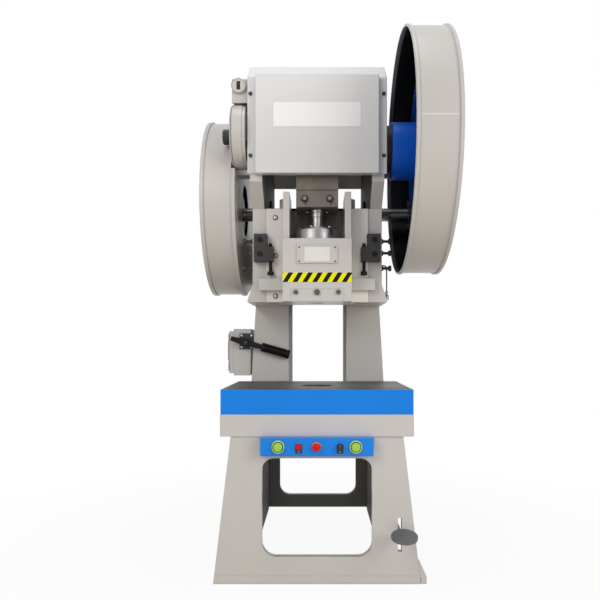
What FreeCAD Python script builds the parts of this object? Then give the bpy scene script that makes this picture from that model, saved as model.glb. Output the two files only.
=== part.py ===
import FreeCAD, Part

import math
import os
import re

import Sketcher

# Open-back, fixed-bed C-frame crank press, millimetres, +Z up, -Y towards the operator.
# The origin lies on the floor, at the centre of the four anchor holes.

SIZES = {
    # welded base
    "anchor_pitch_x": (850, "anchor holes, left to right"),
    "anchor_pitch_y": (1200, "anchor holes, front to back"),
    "anchor_setback": (90, "front anchors behind the table's front edge"),
    "anchor_hole_dia": (33, "anchor hole"),
    "base_height": (659, "floor to the underside of the table"),
    "base_top_width": (772, "front and rear plate at the top"),
    "base_foot_width": (928, "front and rear plate at the floor"),
    "base_plate": (36, "plate thickness of the base"),
    "base_recess": (8, "front plate behind the table edge"),
    "base_inner_width": (636, "between the side plates"),
    "base_window_width": (493, "window in the front and rear plate"),
    "base_window_sill": (121, "front window sill above the floor"),
    "base_window_head": (561, "front window head above the floor"),
    "base_window_head_radius": (55, "upper window corners"),
    "base_window_sill_radius": (66, "lower window corners"),
    "rear_window_sill": (93, "rear window sill above the floor"),
    "rear_plate_gap": (13, "rear plate above the floor"),
    "foot_thickness": (26, "anchor foot plate"),
    "foot_reach": (136, "anchor foot beyond the side plate"),
    "foot_reach_left": (108, "left front foot beyond the side plate"),
    "foot_lug_edge": (6, "outer edge of the lug's rib above the foot"),
    "foot_lug_setback": (2, "lug behind the front plate's face"),
    "foot_length": (110, "anchor foot, front to back"),
    "foot_rib": (16, "rib on the anchor foot"),
    "foot_rib_height": (104, "top of the rib above the floor"),
    # table and bolster
    "table_width": (864, "table, left to right"),
    "table_thickness": (98, "table slab"),
    "table_depth": (1364, "table slab, front to back"),
    "bolster_inset": (2, "bolster inside the table's edge, each side"),
    "bolster_depth": (676, "bolster plate, front to back"),
    "bolster_thickness": (111, "bolster plate"),
    "bolster_bore_dia": (150, "drop hole in the bolster"),
    "table_bore_dia": (180, "drop hole in the table"),
    "tslot_pitch": (400, "T-slots, front to back"),
    "tslot_width": (22, "throat of a T-slot"),
    "tslot_foot_width": (38, "foot of a T-slot"),
    "tslot_foot": (16, "height of the foot of a T-slot"),
    "tslot_depth": (38, "T-slot"),
    # C-frame
    "slide_setback": (300, "slide and crank centre behind the table edge"),
    "throat_depth": (380, "slide centre to the throat face"),
    "throat_height": (411, "bolster top to the underside of the guide box"),
    "throat_radius": (110, "upper corner of the throat"),
    "column_gap": (316, "clear width between the columns"),
    "column_foot_width": (738, "over the columns at the table"),
    "column_top_width": (678, "over the columns under the guide box"),
    "column_depth": (500, "column box, front to back"),
    "column_height": (670, "table to the top of the column box"),
    "head_width": (640, "over the side plates of the head"),
    "head_inner_width": (524, "between the side plates of the head"),
    "guide_inner_width": (502, "between the guide walls"),
    "guide_setback": (30, "guide face behind the slide centre"),
    "guide_height": (462, "height of the guides"),
    "guide_wall_depth": (170, "guide wall, front to back"),
    "guide_ledge": (54, "ledge behind the rear gib"),
    "guide_ledge_width": (340, "between the ledges"),
    "guide_lip_width": (692, "over the flared lip of the guide box"),
    "guide_lip_height": (90, "height of the flare"),
    "head_nose": (100, "front edge of the head before the crank axis"),
    "head_nose_bottom": (1846, "underside of the head's nose"),
    "head_shoulder": (2338, "front shoulder of the head"),
    "head_top": (2444, "top of the head"),
    "head_slope": (140, "depth of the sloped front edge of the top"),
    "head_depth": (700, "nose to the rear chamfer at the top"),
    "head_rear_chamfer": (140, "rear chamfer of the head"),
    "frame_rear_lean": (70, "rear edge leans out from head to jaw"),
    "frame_rear_foot": (1240, "rear of the frame at the table, from its front edge"),
    "tie_thickness": (30, "rear tie plate"),
    "tie_height": (293, "height of the rear tie plate"),
    "tie_setback": (1050, "rear tie plate behind the table edge"),
    "rear_sheet": (12, "rear plate of the head"),
    "rear_sheet_setback": (1010, "rear plate of the head behind the table edge"),
    "rear_sheet_bottom": (2004, "lower edge of the rear plate of the head"),
    "jaw_deck": (40, "deck behind the guides"),
    "guide_lip_edge": (12, "lower edge of the flare"),
    # slide, gibs and shank clamp
    "slide_width": (325, "slide, left to right"),
    "slide_front": (143, "slide front before its centre"),
    "slide_rear": (143, "slide back behind its centre"),
    "slide_bottom": (1272, "underside of the slide at the top of the stroke"),
    "slide_block_height": (296, "height of the slide's front block"),
    "slide_height": (526, "height of the slide's side walls"),
    "slide_back_height": (478, "height of the slide's rear wall"),
    "slide_upright_recess": (47, "side walls behind the front face"),
    "slide_cavity_width": (265, "between the slide's side walls"),
    "slide_cavity_setback": (261, "rear of the cavity behind the slide's front"),
    "slide_floor": (178, "floor of the cavity above the underside"),
    "ridge_centre": (89, "guide ridge behind the slide centre"),
    "ridge_height": (27.5, "ridge beyond the slide's side"),
    "ridge_base": (76, "ridge width at its root"),
    "ridge_crest": (21, "ridge width at its crest"),
    "gib_rear_land": (19, "rear gib behind the ridge"),
    "guide_clearance": (0.3, "play between slide and gibs"),
    "gib_proud": (8, "front gib before the guide face"),
    "gib_bolt_spacing": (413, "gib bolts, left to right"),
    "gib_bolt_dia": (16, "gib bolt"),
    "slide_stroke": (130, "stroke of the slide"),
    "shank_bore_dia": (60, "die shank bore"),
    "shank_bore_depth": (46, "depth of the shank bore"),
    "shank_clamp_width": (250, "shank clamp"),
    "shank_clamp_height": (58, "shank clamp"),
    "shank_bolt_spacing": (100, "shank clamp bolts"),
    "shank_bolt_height": (43, "clamp bolts above the underside"),
    "shank_bolt_head": (11.5, "clamp screw's head, centre to corner"),
    "shank_set_head": (14.5, "set screw's head, centre to corner"),
    "shank_split": (0.6, "gap between clamp and slide"),
    "ejector_hole_dia": (26, "hole from the bar slot to the shank bore"),
    "cover_plate_width": (192, "plate on the slide"),
    "cover_plate_height": (84, "plate on the slide"),
    "cover_plate_thickness": (6, "plate on the slide"),
    "cover_plate_sill": (178, "plate's lower edge above the underside"),
    "gib_screw_low": (1451, "lowest gib adjusting screw"),
    "gib_screw_mid": (1586, "middle gib adjusting screw"),
    "gib_screw_extra": (1527, "fourth gib adjusting screw on the right side"),
    "gib_screw_high": (1717, "highest gib adjusting screw"),
    "gib_screw_inset": (40, "adjusting screws behind the guide face"),
    "gib_screw_dia": (14, "gib adjusting screw"),
    "gib_screw_reach": (51, "adjusting screw beyond the head"),
    "gib_locknut": (10, "locknut of the adjusting screw"),
    "gib_locknut_radius": (13, "corner of the locknut"),
    "gib_screw_head": (15, "head of the adjusting screw"),
    "gib_screw_head_radius": (14, "head of the adjusting screw"),
    "gib_bolt_low": (1308, "lowest gib bolt"),
    "gib_bolt_mid": (1508, "middle gib bolt"),
    "gib_bolt_high": (1696, "highest gib bolt"),
    "gib_head": (12, "head of the gib bolt"),
    "gib_head_dia": (25, "head of the gib bolt"),
    "gib_head_proud": (2, "gib bolt head before its gib"),
    "gib_socket": (13, "hexagon socket, over its corners"),
    "gib_socket_depth": (7, "hexagon socket"),
    "gib_stud_cover": (10, "right gib in front of its blind studs"),
    "shank_bolt_dia": (16, "shank clamp bolt"),
    "shank_bolt_depth": (44, "clamp bolt beyond the split"),
    "shank_head": (10, "head of the clamp bolt"),
    "stop_bracket_front": (28, "stop bracket before the slide centre"),
    "stop_bolt_spacing": (459, "stop bolts, left to right"),
    "stop_screw_dia": (12, "stop bracket screw"),
    "rod_bolt_dia": (20, "clamp bolt of the rod"),
    "rod_bolt_head": (13, "head of the rod bolt"),
    "motor_foot": (14, "motor foot under the housing"),
    "motor_shelf_left": (250, "motor shelf left of the middle"),
    "motor_shelf_right": (30, "motor shelf right of the middle"),
    "shelf_thickness": (20, "motor shelf and its ribs"),
    "shelf_rib_depth": (130, "ribs under the motor shelf"),
    # knock-out bar and its stops
    "bar_length": (568, "knock-out bar"),
    "bar_depth": (34, "knock-out bar, front to back"),
    "bar_height": (58, "knock-out bar"),
    "bar_sill": (62, "bar's lower edge above the slide's underside"),
    "bar_travel": (16, "play up to the stop bolts"),
    "bar_clearance": (0.5, "play round the bar in its slot"),
    "stop_bracket_width": (64, "stop bracket"),
    "stop_bracket_bottom": (1475, "underside of the stop brackets"),
    "stop_bracket_height": (134, "stop bracket"),
    "stop_arm_reach": (31, "arm over the bar's end"),
    "stop_arm_height": (70, "arm of the stop bracket"),
    "stop_arm_gap": (4, "arm before the gib"),
    "stop_block_lap": (6, "stop bracket over the gib's edge"),
    "stop_bolt_end": (20, "stop bolt above its arm"),
    "stop_screw_low": (35, "lower bracket screw above the bracket's underside"),
    "stop_screw_high": (104, "upper bracket screw above the bracket's underside"),
    "stop_screw_head": (10, "head of the bracket screw"),
    "stop_screw_head_dia": (20, "head of the bracket screw"),
    "stop_bolt_dia": (16, "stop bolt"),
    "stop_head_height": (18, "head of the stop bolt"),
    "stop_gap": (16.6, "bolt head to the bar"),
    # crank, rod and screw
    "crank_height": (2016, "crank axis above the floor"),
    "journal_dia": (124, "main journal"),
    "bush_wall": (16, "bronze bush"),
    "crankpin_dia": (120, "crankpin"),
    "web_radius": (104, "crank web"),
    "web_thickness": (52, "crank web"),
    "rod_head_width": (146, "rod's big end, along the crankpin"),
    "rod_head_radius": (104, "rod's big end"),
    "rod_width": (202, "rod's lower end"),
    "rod_half_depth": (80, "rod's lower end before and behind its centre"),
    "rod_clamp_bottom": (1728, "underside of the rod"),
    "rod_clamp_height": (79, "clamp cap of the rod"),
    "rod_clamp_split": (3, "slot over the clamp cap"),
    "rod_block_top": (1880, "top of the rod's lower block"),
    "rod_bolt_spacing": (120, "clamp bolts of the rod"),
    "rod_bolt_head_dia": (27, "head of the rod bolt"),
    "rod_bolt_end": (20, "rod behind the tip of its bolt"),
    "rod_neck_height": (30, "taper over the rod's lower block"),
    "screw_dia": (70, "adjusting screw"),
    "screw_top": (1934, "top of the adjusting screw"),
    "screw_headroom": (6, "bore above the adjusting screw"),
    "collar_dia": (86, "collar of the adjusting screw"),
    "collar_height": (14, "collar of the adjusting screw"),
    "collar_gap": (2, "collar to the rod"),
    "collar_step_dia": (73, "step under the collar"),
    "collar_step": (22, "step under the collar"),
    "screw_neck_dia": (66, "adjusting screw between collar and ball"),
    "tommy_dia": (10, "bar through the collar"),
    "tommy_length": (112, "bar through the collar"),
    "running_clearance": (0.08, "radial play of running fits"),
    "ball_dia": (116, "ball of the adjusting screw"),
    "ball_height": (1520, "centre of the ball"),
    "ball_nut_dia": (230, "ball nut"),
    "ball_nut_bottom": (1524, "underside of the ball nut"),
    "ball_nut_top": (1629, "top of the ball nut"),
    "nut_screw_circle": (176, "screws on the ball nut"),
    "nut_screw_dia": (16, "screw head on the ball nut"),
    "nut_screw_head": (9, "screw head on the ball nut"),
    "nut_bore_dia": (82, "opening of the ball nut"),
    "ball_seat_dia": (170, "cup under the ball"),
    # gear train
    "gear_module": (10, "module of the gear pair"),
    "gear_teeth": (84, "teeth of the bull gear"),
    "pinion_teeth": (14, "teeth of the pinion"),
    "gear_addendum": (0.8, "addendum in modules"),
    "gear_dedendum": (1.1, "dedendum in modules"),
    "gear_backlash": (0.6, "backlash at the pitch circle"),
    "gear_face": (78, "face width of the bull gear"),
    "gear_start": (505, "inner face of the bull gear from the centre"),
    "gear_web": (34, "web of the bull gear"),
    "gear_web_start": (14, "web behind the gear's inner face"),
    "gear_rim": (42, "rim under the teeth"),
    "gear_hub_dia": (275, "hub of the bull gear"),
    "gear_hub_start": (357, "hub end from the centre"),
    "gear_hole_circle": (492, "circle of the lightening holes"),
    "gear_hole_dia": (78, "lightening hole"),
    "clutch_ring_dia": (243, "clutch ring"),
    "clutch_ring_width": (24, "clutch ring"),
    "countershaft_drop": (224, "countershaft below the crank axis"),
    "countershaft_dia": (72, "countershaft"),
    "countershaft_end": (5, "countershaft beyond the bull gear"),
    "countershaft_chamfer": (2, "countershaft's ends"),
    "countershaft_flange_dia": (210, "bearing flange of the countershaft"),
    "countershaft_spigot_dia": (150, "bearing housing in the frame side"),
    "countershaft_flange": (24, "bearing flange thickness"),
    "flywheel_dia": (850, "flywheel"),
    "flywheel_width": (140, "flywheel"),
    "flywheel_start": (414, "inner face of the flywheel from the centre"),
    "flywheel_rim": (72, "flywheel rim"),
    "flywheel_web": (40, "flywheel web"),
    "flywheel_hub_dia": (200, "flywheel hub"),
    "groove_depth": (16, "belt groove"),
    "groove_pitch": (26, "belt groove pitch"),
    "groove_width": (20, "belt groove at the rim"),
    "belt_clearance": (0.4, "belt to groove"),
    "motor_pulley_dia": (184, "motor pulley"),
    "motor_setback": (1322, "motor axis behind the table edge"),
    "motor_height": (1589, "motor axis above the floor"),
    "motor_dia": (256, "motor"),
    "motor_length": (420, "motor"),
    "motor_start": (398, "drive end of the motor from the centre"),
    "motor_shaft_dia": (42, "motor shaft"),
    # guards
    "gear_guard_dia": (1150, "gear guard"),
    "gear_guard_start": (403, "inner edge of the gear guard"),
    "gear_guard_width": (194, "gear guard"),
    "gear_guard_drop": (18, "guard centre below the crank axis"),
    "flywheel_guard_room": (38, "flywheel to its guard"),
    "flywheel_guard_rise": (20, "guard centre above the countershaft"),
    "flywheel_guard_start": (402, "inner edge of the flywheel guard"),
    "flywheel_guard_width": (172, "flywheel guard"),
    "guard_hole_dia": (282, "hole in the flywheel guard"),
    "guard_sheet": (4, "guard sheet"),
    "guard_bead": (7, "bead on the guard edges"),
    "guard_bead_width": (18, "bead on the guard edges"),
    "tunnel_radius": (124, "belt guard round the motor pulley"),
    "guard_notch_depth": (20, "cut-out for the brake in the flywheel guard"),
    "guard_notch_play": (10, "cut-out beyond the brake drum"),
    "guard_arm_width": (60, "arm that carries a guard"),
    "guard_arm_thickness": (8, "arm that carries a guard"),
    "guard_arm_overlap": (34, "arm inside the gear guard"),
    "guard_arm_circle": (508, "arms on the flywheel guard"),
    # brake
    "brake_drum_dia": (292, "brake drum"),
    "brake_drum_start": (342, "inner face of the brake drum"),
    "brake_drum_width": (72, "brake drum"),
    "brake_offset": (71, "drum's eccentricity"),
    "brake_band": (5, "brake band"),
    "brake_band_width": (46, "brake band"),
    "end_cap_dia": (74, "cap on the shaft end"),
    "end_cap_width": (34, "cap on the shaft end"),
    "brake_bracket_bottom": (2225, "underside of the brake bracket"),
    "brake_bracket_height": (113, "brake bracket"),
    "brake_bracket_outer": (408, "brake bracket from the centre"),
    "brake_bracket_front": (84, "brake bracket before the crank axis"),
    "brake_cup_place": (375, "spring cup from the centre"),
    "brake_cup_dia": (70, "spring cup"),
    "brake_cup_height": (36, "spring cup below the bracket's top"),
    "brake_cup_length": (18, "spring cup before the bracket"),
    "brake_slot_width": (18, "slot in the spring cup"),
    "brake_slot_height": (40, "slot in the spring cup"),
    "brake_saddle_play": (6, "bracket above the brake band"),
    # head covers
    "cover_width": (583, "raised field of the front cover"),
    "cover_depth": (42, "depth of the raised field"),
    "cover_bottom": (1875, "lower edge of the raised field"),
    "cover_top": (2337, "upper edge of the raised field"),
    "cover_flange_width": (664, "over the flanges of the front cover"),
    "cover_sheet": (3, "sheet of the covers"),
    "top_sheet": (4, "sheet of the top cover"),
    "cover_screw_spacing": (634, "cover screws, left to right"),
    "cover_screw_rise": (92, "lower cover screws above the cover's lower edge"),
    "cover_screw_fall": (76, "upper cover screws below the cover's upper edge"),
    "cover_screw_head": (5, "head of the cover screw"),
    "cover_screw_dia": (18, "cover screw"),
    # cabinet and lamp
    "cabinet_outer": (463, "outer side of the cabinet from the centre"),
    "cabinet_inner": (369, "inner side of the cabinet from the centre"),
    "cabinet_setback": (20, "cabinet behind the throat face"),
    "cabinet_depth": (320, "cabinet, front to back"),
    "cabinet_bottom": (898, "underside of the cabinet"),
    "cabinet_height": (257, "cabinet"),
    "cabinet_door": (24, "door of the cabinet"),
    "door_gap": (0.5, "door to cabinet"),
    "lamp_bracket_outer": (430, "lamp bracket from the centre"),
    "lamp_bracket_inner": (353.5, "inner edge of the lamp bracket"),
    "lamp_bracket_bottom": (1043, "underside of the lamp bracket"),
    "lamp_bracket_height": (87, "lamp bracket"),
    "lamp_plate": (6, "lamp bracket plate"),
    "lamp_forward": (32, "lamp's middle plane before the throat face"),
    "lamp_pivot": (391, "lamp pivot from the centre"),
    "lamp_pivot_height": (1080, "lamp pivot above the floor"),
    "lamp_lean": (15.5, "slope of the lamp"),
    "lamp_tail": (84, "arm beyond its pivot"),
    "lamp_arm_length": (80, "pivot to the lamp head"),
    "lamp_arm_thickness": (16, "lamp arm"),
    "lamp_head_dia": (50, "lamp head"),
    "lamp_head_length": (167, "lamp head"),
    # control panel
    "panel_width": (496, "control panel"),
    "panel_height": (80, "control panel"),
    "panel_reach": (52, "control panel before the table edge"),
    "panel_radius": (8, "lower front edge of the panel"),
    "panel_button_height": (622, "buttons above the floor"),
    "palm_spacing": (340, "palm buttons"),
    "palm_dia": (56, "palm button"),
    "palm_reach": (22, "palm button before the panel"),
    "stop_button_place": (-2, "stop button from the middle"),
    "stop_button_dia": (40, "stop button"),
    "stop_button_reach": (30, "stop button before the panel"),
    "start_button_place": (-80, "start button from the middle"),
    "start_button_dia": (27, "start button"),
    "start_button_reach": (16, "start button before the panel"),
    "selector_place": (101, "selector from the middle"),
    "selector_dia": (28, "selector dial"),
    "selector_reach": (22, "selector before the panel"),
    "button_gap": (7, "room for a button's travel"),
    # pedal
    "pedal_place": (370, "pedal from the middle"),
    "pedal_pivot_setback": (350, "pedal pivot behind the front plate"),
    "pedal_pivot_height": (226, "pedal pivot above the floor"),
    "pedal_pin_dia": (28, "pedal pin"),
    "pedal_bar": (12, "pedal lever"),
    "pedal_reach": (158, "pedal before the front plate"),
    "pedal_height": (262, "top of the pedal"),
    "pedal_dia": (113, "pedal disc"),
    "pedal_disc": (10, "pedal disc thickness"),
    "pedal_lean": (15, "tilt of the pedal disc"),
    "pedal_slot_width": (18, "slot in the front plate"),
    "pedal_slot_bottom": (143, "slot above the floor"),
    "pedal_slot_height": (152, "slot in the front plate"),
}

# Places worked out from the sizes.
DATUM = {
    "front_y": "-(anchor_pitch_y / 2 + anchor_setback)",
    "base_front": "front_y + base_recess",
    "base_rear": "anchor_pitch_y / 2 + anchor_setback - base_recess",
    "table_top": "base_height + table_thickness",
    "bolster_top": "table_top + bolster_thickness",
    "bolster_width": "table_width - 2 * bolster_inset",
    "jaw_z": "bolster_top + throat_height",
    "column_top": "table_top + column_height",
    "column_rear": "throat_y + column_depth",
    "slide_y": "front_y + slide_setback",
    "throat_y": "slide_y + throat_depth",
    "guide_y": "slide_y + guide_setback",
    "guide_top": "jaw_z + guide_height",
    "nose_y": "slide_y - head_nose",
    "slide_front_y": "slide_y - slide_front",
    "slide_rear_y": "slide_y + slide_rear",
    "ridge_y": "slide_y + ridge_centre",
    "gib_front_y": "guide_y - gib_proud",
    "gib_rear_y": "ridge_y + ridge_base / 2 + gib_rear_land",
    "bar_bottom": "slide_bottom + bar_sill",
    "bar_top": "bar_bottom + bar_height",
    "crank_z": "crank_height",
    "crankpin_z": "crank_height + slide_stroke / 2",
    "gear_distance": "gear_module * (gear_teeth + pinion_teeth) / 2",
    "shaft_z": "crank_height - countershaft_drop",
    "shaft_y": "slide_y + sqrt(gear_distance * gear_distance - countershaft_drop * countershaft_drop)",
    "motor_y": "front_y + motor_setback",
    "drum_z": "crank_height + brake_offset",
    "flywheel_guard_dia": "flywheel_dia + 2 * flywheel_guard_room",
    "head_outer": "head_width / 2",
    "head_inner": "head_inner_width / 2",
}

doc = FreeCAD.newDocument("stamping_press")
NODES = {}


def fill_sheet():
    """Write every driving size to the sheet, one row each, with its alias."""
    sheet = doc.addObject("Spreadsheet::Sheet", "Sizes")
    for row, (alias, (number, note)) in enumerate(SIZES.items(), start=1):
        sheet.set(f"A{row}", note)
        sheet.set(f"B{row}", str(number))
        sheet.setAlias(f"B{row}", alias)
    doc.recompute()
    return sheet


sheet = fill_sheet()


def bound(text):
    """Turn a formula in plain words into an expression on the sheet's cells."""
    def swap(match):
        word = match.group(0)
        if word in DATUM:
            return "(" + bound(DATUM[word]) + ")"
        if word in SIZES:
            return "Sizes." + word
        return word
    return re.sub(r"[a-z_]+", swap, str(text))


def number(text):
    """Give a formula's present value as a plain number."""
    return float(sheet.evalExpression(bound(text)))


def bind(thing, **formulas):
    """Bind properties to formulas; a double underscore stands for a dot."""
    for name, formula in formulas.items():
        thing.setExpression(name.replace("__", "."), bound(formula))


def place(thing, x="0", y="0", z="0"):
    bind(thing, Placement__Base__x=x, Placement__Base__y=y, Placement__Base__z=z)


def keep(thing, node):
    """Name a finished sub-part; the label is the name of its file."""
    thing.Label = node
    NODES[node] = thing
    return thing


# ---------------------------------------------------------------- solids and booleans

def box(name, x, y, z):
    """Block between two formulas along each axis."""
    solid = doc.addObject("Part::Box", name)
    bind(solid, Length=f"({x[1]}) - ({x[0]})", Width=f"({y[1]}) - ({y[0]})", Height=f"({z[1]}) - ({z[0]})")
    place(solid, x[0], y[0], z[0])
    return solid


TURNS = {
    "x": FreeCAD.Rotation(FreeCAD.Vector(0, 1, 0), 90),
    "y": FreeCAD.Rotation(FreeCAD.Vector(1, 0, 0), -90),
    "z": FreeCAD.Rotation(),
}


def spot(axis, first, second, along):
    """Coordinates of a point given by its two cross positions and its place along an axis."""
    return {
        "x": {"x": along, "y": first, "z": second},
        "y": {"x": first, "y": along, "z": second},
        "z": {"x": first, "y": second, "z": along},
    }[axis]


def rod(name, axis, centre, span, radius):
    """Cylinder along an axis, between two formulas."""
    solid = doc.addObject("Part::Cylinder", name)
    bind(solid, Radius=radius, Height=f"({span[1]}) - ({span[0]})")
    solid.Placement = FreeCAD.Placement(FreeCAD.Vector(), TURNS[axis])
    place(solid, **spot(axis, centre[0], centre[1], span[0]))
    return solid


def hexagon(name, axis, centre, span, circumradius):
    """Six-sided bolt head along an axis."""
    solid = doc.addObject("Part::Prism", name)
    solid.Polygon = 6
    bind(solid, Circumradius=circumradius, Height=f"({span[1]}) - ({span[0]})")
    solid.Placement = FreeCAD.Placement(FreeCAD.Vector(), TURNS[axis])
    place(solid, **spot(axis, centre[0], centre[1], span[0]))
    return solid


def ball(name, centre, radius):
    solid = doc.addObject("Part::Sphere", name)
    bind(solid, Radius=radius)
    place(solid, *centre)
    return solid


def fuse(name, solids):
    joined = doc.addObject("Part::MultiFuse", name)
    joined.Shapes = solids
    joined.Refine = True
    return joined


def cut(name, base, tools):
    tool = tools[0] if len(tools) == 1 else fuse(name + "_tools", tools)
    result = doc.addObject("Part::Cut", name)
    result.Base = base
    result.Tool = tool
    return result


def group(name, solids):
    """Several like pieces that share one sub-part."""
    together = doc.addObject("Part::Compound", name)
    together.Links = solids
    return together


def mirrored(name, source):
    """The same piece on the other side of the press."""
    other = doc.addObject("Part::Mirroring", name)
    other.Source = source
    other.Normal = FreeCAD.Vector(1, 0, 0)
    return other


# ---------------------------------------------------------------- sketched features

def plane(body, role):
    for feature in body.Origin.OriginFeatures:
        if feature.Role == role:
            return feature


def outline(body, role, offset, loops, circles=()):
    """Sketch on an origin plane: closed loops of corner points, and circles, all bound to the sheet."""
    sketch = body.newObject("Sketcher::SketchObject", body.Name + "_sketch")
    sketch.AttachmentSupport = [(plane(body, role), "")]
    sketch.MapMode = "FlatFace"
    sketch.setExpression("AttachmentOffset.Base.z", bound(offset))
    for corners in loops:
        first = sketch.GeometryCount
        places = [FreeCAD.Vector(number(u), number(v), 0) for u, v in corners]
        for here, there in zip(places, places[1:] + places[:1]):
            sketch.addGeometry(Part.LineSegment(here, there), False)
        for step, (u, v) in enumerate(corners):
            this = first + step
            following = first + (step + 1) % len(corners)
            sketch.addConstraint(Sketcher.Constraint("Coincident", this, 2, following, 1))
            pin(sketch, this, 1, u, v)
    for u, v, radius in circles:
        middle = FreeCAD.Vector(number(u), number(v), 0)
        ring = sketch.addGeometry(Part.Circle(middle, FreeCAD.Vector(0, 0, 1), number(radius)), False)
        pin(sketch, ring, 3, u, v)
        size = sketch.addConstraint(Sketcher.Constraint("Radius", ring, number(radius)))
        sketch.setExpression(f"Constraints[{size}]", bound(radius))
    return sketch


def pin(sketch, geometry, point, u, v):
    """Hold a sketch point at two formulas."""
    for direction, formula in (("DistanceX", u), ("DistanceY", v)):
        limit = Sketcher.Constraint(direction, -1, 1, geometry, point, number(formula))
        index = sketch.addConstraint(limit)
        sketch.setExpression(f"Constraints[{index}]", bound(formula))


# Each plane's normal, as the side of the sketch a pad grows to.
NORMAL = {"XY_Plane": 1, "XZ_Plane": -1, "YZ_Plane": 1}


def start_of(role, span):
    return span[0] if NORMAL[role] > 0 else f"-({span[1]})"


def pad(body, role, span, loops, circles=()):
    """Grow an outline between two formulas along its plane's axis."""
    sketch = outline(body, role, start_of(role, span), loops, circles)
    feature = body.newObject("PartDesign::Pad", body.Name + "_pad")
    feature.Profile = sketch
    bind(feature, Length=f"({span[1]}) - ({span[0]})")
    body.Tip = feature
    return feature


def pocket(body, role, span, loops, circles=()):
    """Cut an outline away between two formulas along its plane's axis."""
    sketch = outline(body, role, start_of(role, span), loops, circles)
    feature = body.newObject("PartDesign::Pocket", body.Name + "_pocket")
    feature.Profile = sketch
    bind(feature, Length=f"({span[1]}) - ({span[0]})")
    feature.Reversed = True
    body.Tip = feature
    doc.recompute()
    before = feature.BaseFeature.Shape.Volume
    if feature.Shape.Volume > before - 1:
        raise ValueError(f"{body.Name}: a pocket cuts nothing")
    return feature


def turned(name, axis, profile, centre=("0", "0")):
    """Revolve a profile of (place along the axis, radius) pairs about an axis."""
    body = doc.addObject("PartDesign::Body", name)
    role = "XZ_Plane" if axis == "z" else "XY_Plane"
    corners = profile if axis == "x" else [(radius, along) for along, radius in profile]
    sketch = outline(body, role, "0", [corners])
    feature = body.newObject("PartDesign::Revolution", name + "_turn")
    feature.Profile = sketch
    feature.ReferenceAxis = (sketch, ["H_Axis" if axis == "x" else "V_Axis"])
    feature.Angle = 360
    body.Tip = feature
    place(body, **spot(axis, centre[0], centre[1], "0"))
    return body


def new_body(name):
    return doc.addObject("PartDesign::Body", name)


def rounded(body, axis, corners, radius):
    """Fillet the edges that run along an axis through the given cross positions."""
    doc.recompute()
    base = body.Tip
    across = [index for index in range(3) if index != "xyz".index(axis)]
    wanted = [tuple(number(formula) for formula in corner) for corner in corners]
    names = []
    for index, edge in enumerate(base.Shape.Edges, start=1):
        ends = [vertex.Point for vertex in edge.Vertexes]
        if len(ends) != 2 or edge.Curve.TypeId != "Part::GeomLine":
            continue
        for target in wanted:
            gaps = [abs(end[across[side]] - target[side]) for end in ends for side in (0, 1)]
            if max(gaps) < 0.01:
                names.append(f"Edge{index}")
    if len(names) < len(corners):
        raise ValueError(f"{body.Name}: {len(names)} of {len(corners)} edges found for a fillet")
    feature = body.newObject("PartDesign::Fillet", body.Name + "_fillet")
    feature.Base = (base, names)
    bind(feature, Radius=radius)
    body.Tip = feature
    return feature


def rectangle(u, v):
    """Corner points of a rectangle between two formulas each way."""
    return [(u[0], v[0]), (u[1], v[0]), (u[1], v[1]), (u[0], v[1])]


def both(formula):
    """A width centred on the press's middle plane."""
    return (f"-({formula}) / 2", f"({formula}) / 2")


# ---------------------------------------------------------------- base, table, bolster

def base_plate(name, front, sill):
    """Flared plate with a large window, standing across the base."""
    span = (front, f"{front} + base_plate")
    bottom = "0" if name == "base_front_plate" else "rear_plate_gap"
    foot = f"base_foot_width / 2 - (base_foot_width - base_top_width) / 2 * ({bottom}) / base_height"
    body = new_body(name)
    edge = [(f"-({foot})", bottom), (foot, bottom), ("base_top_width / 2", "base_height"),
            ("-base_top_width / 2", "base_height")]
    pad(body, "XZ_Plane", span, [edge])
    u = both("base_window_width")
    pocket(body, "XZ_Plane", span, [rectangle(u, (sill, "base_window_head"))])
    # The span of an X-Z window runs along Y, so its corner edges do too.
    rounded(body, "y", [(side, "base_window_head") for side in u], "base_window_head_radius")
    rounded(body, "y", [(side, sill) for side in u], "base_window_sill_radius")
    return body


def front_lug(far):
    """Tongue and slanted rib that show beside the front plate."""
    front = "base_front + foot_lug_setback"
    tongue = box("lug_tongue", ("base_foot_width / 2", far), (front, "base_front + base_plate"),
                 ("0", "foot_thickness"))
    edge = "base_foot_width / 2 - (base_foot_width - base_top_width) / 2 * {0} / base_height"
    low, high = f"({edge.format('foot_thickness')})", f"({edge.format('foot_rib_height')})"
    rib = new_body("lug_rib")
    shape = [(low, "foot_thickness"), (far, "foot_thickness"), (far, "foot_thickness + foot_lug_edge"),
             (f"{high} + foot_lug_edge", "foot_rib_height"), (high, "foot_rib_height")]
    pad(rib, "XZ_Plane", (front, f"{front} + foot_rib"), [shape])
    return [tongue, rib]


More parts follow.
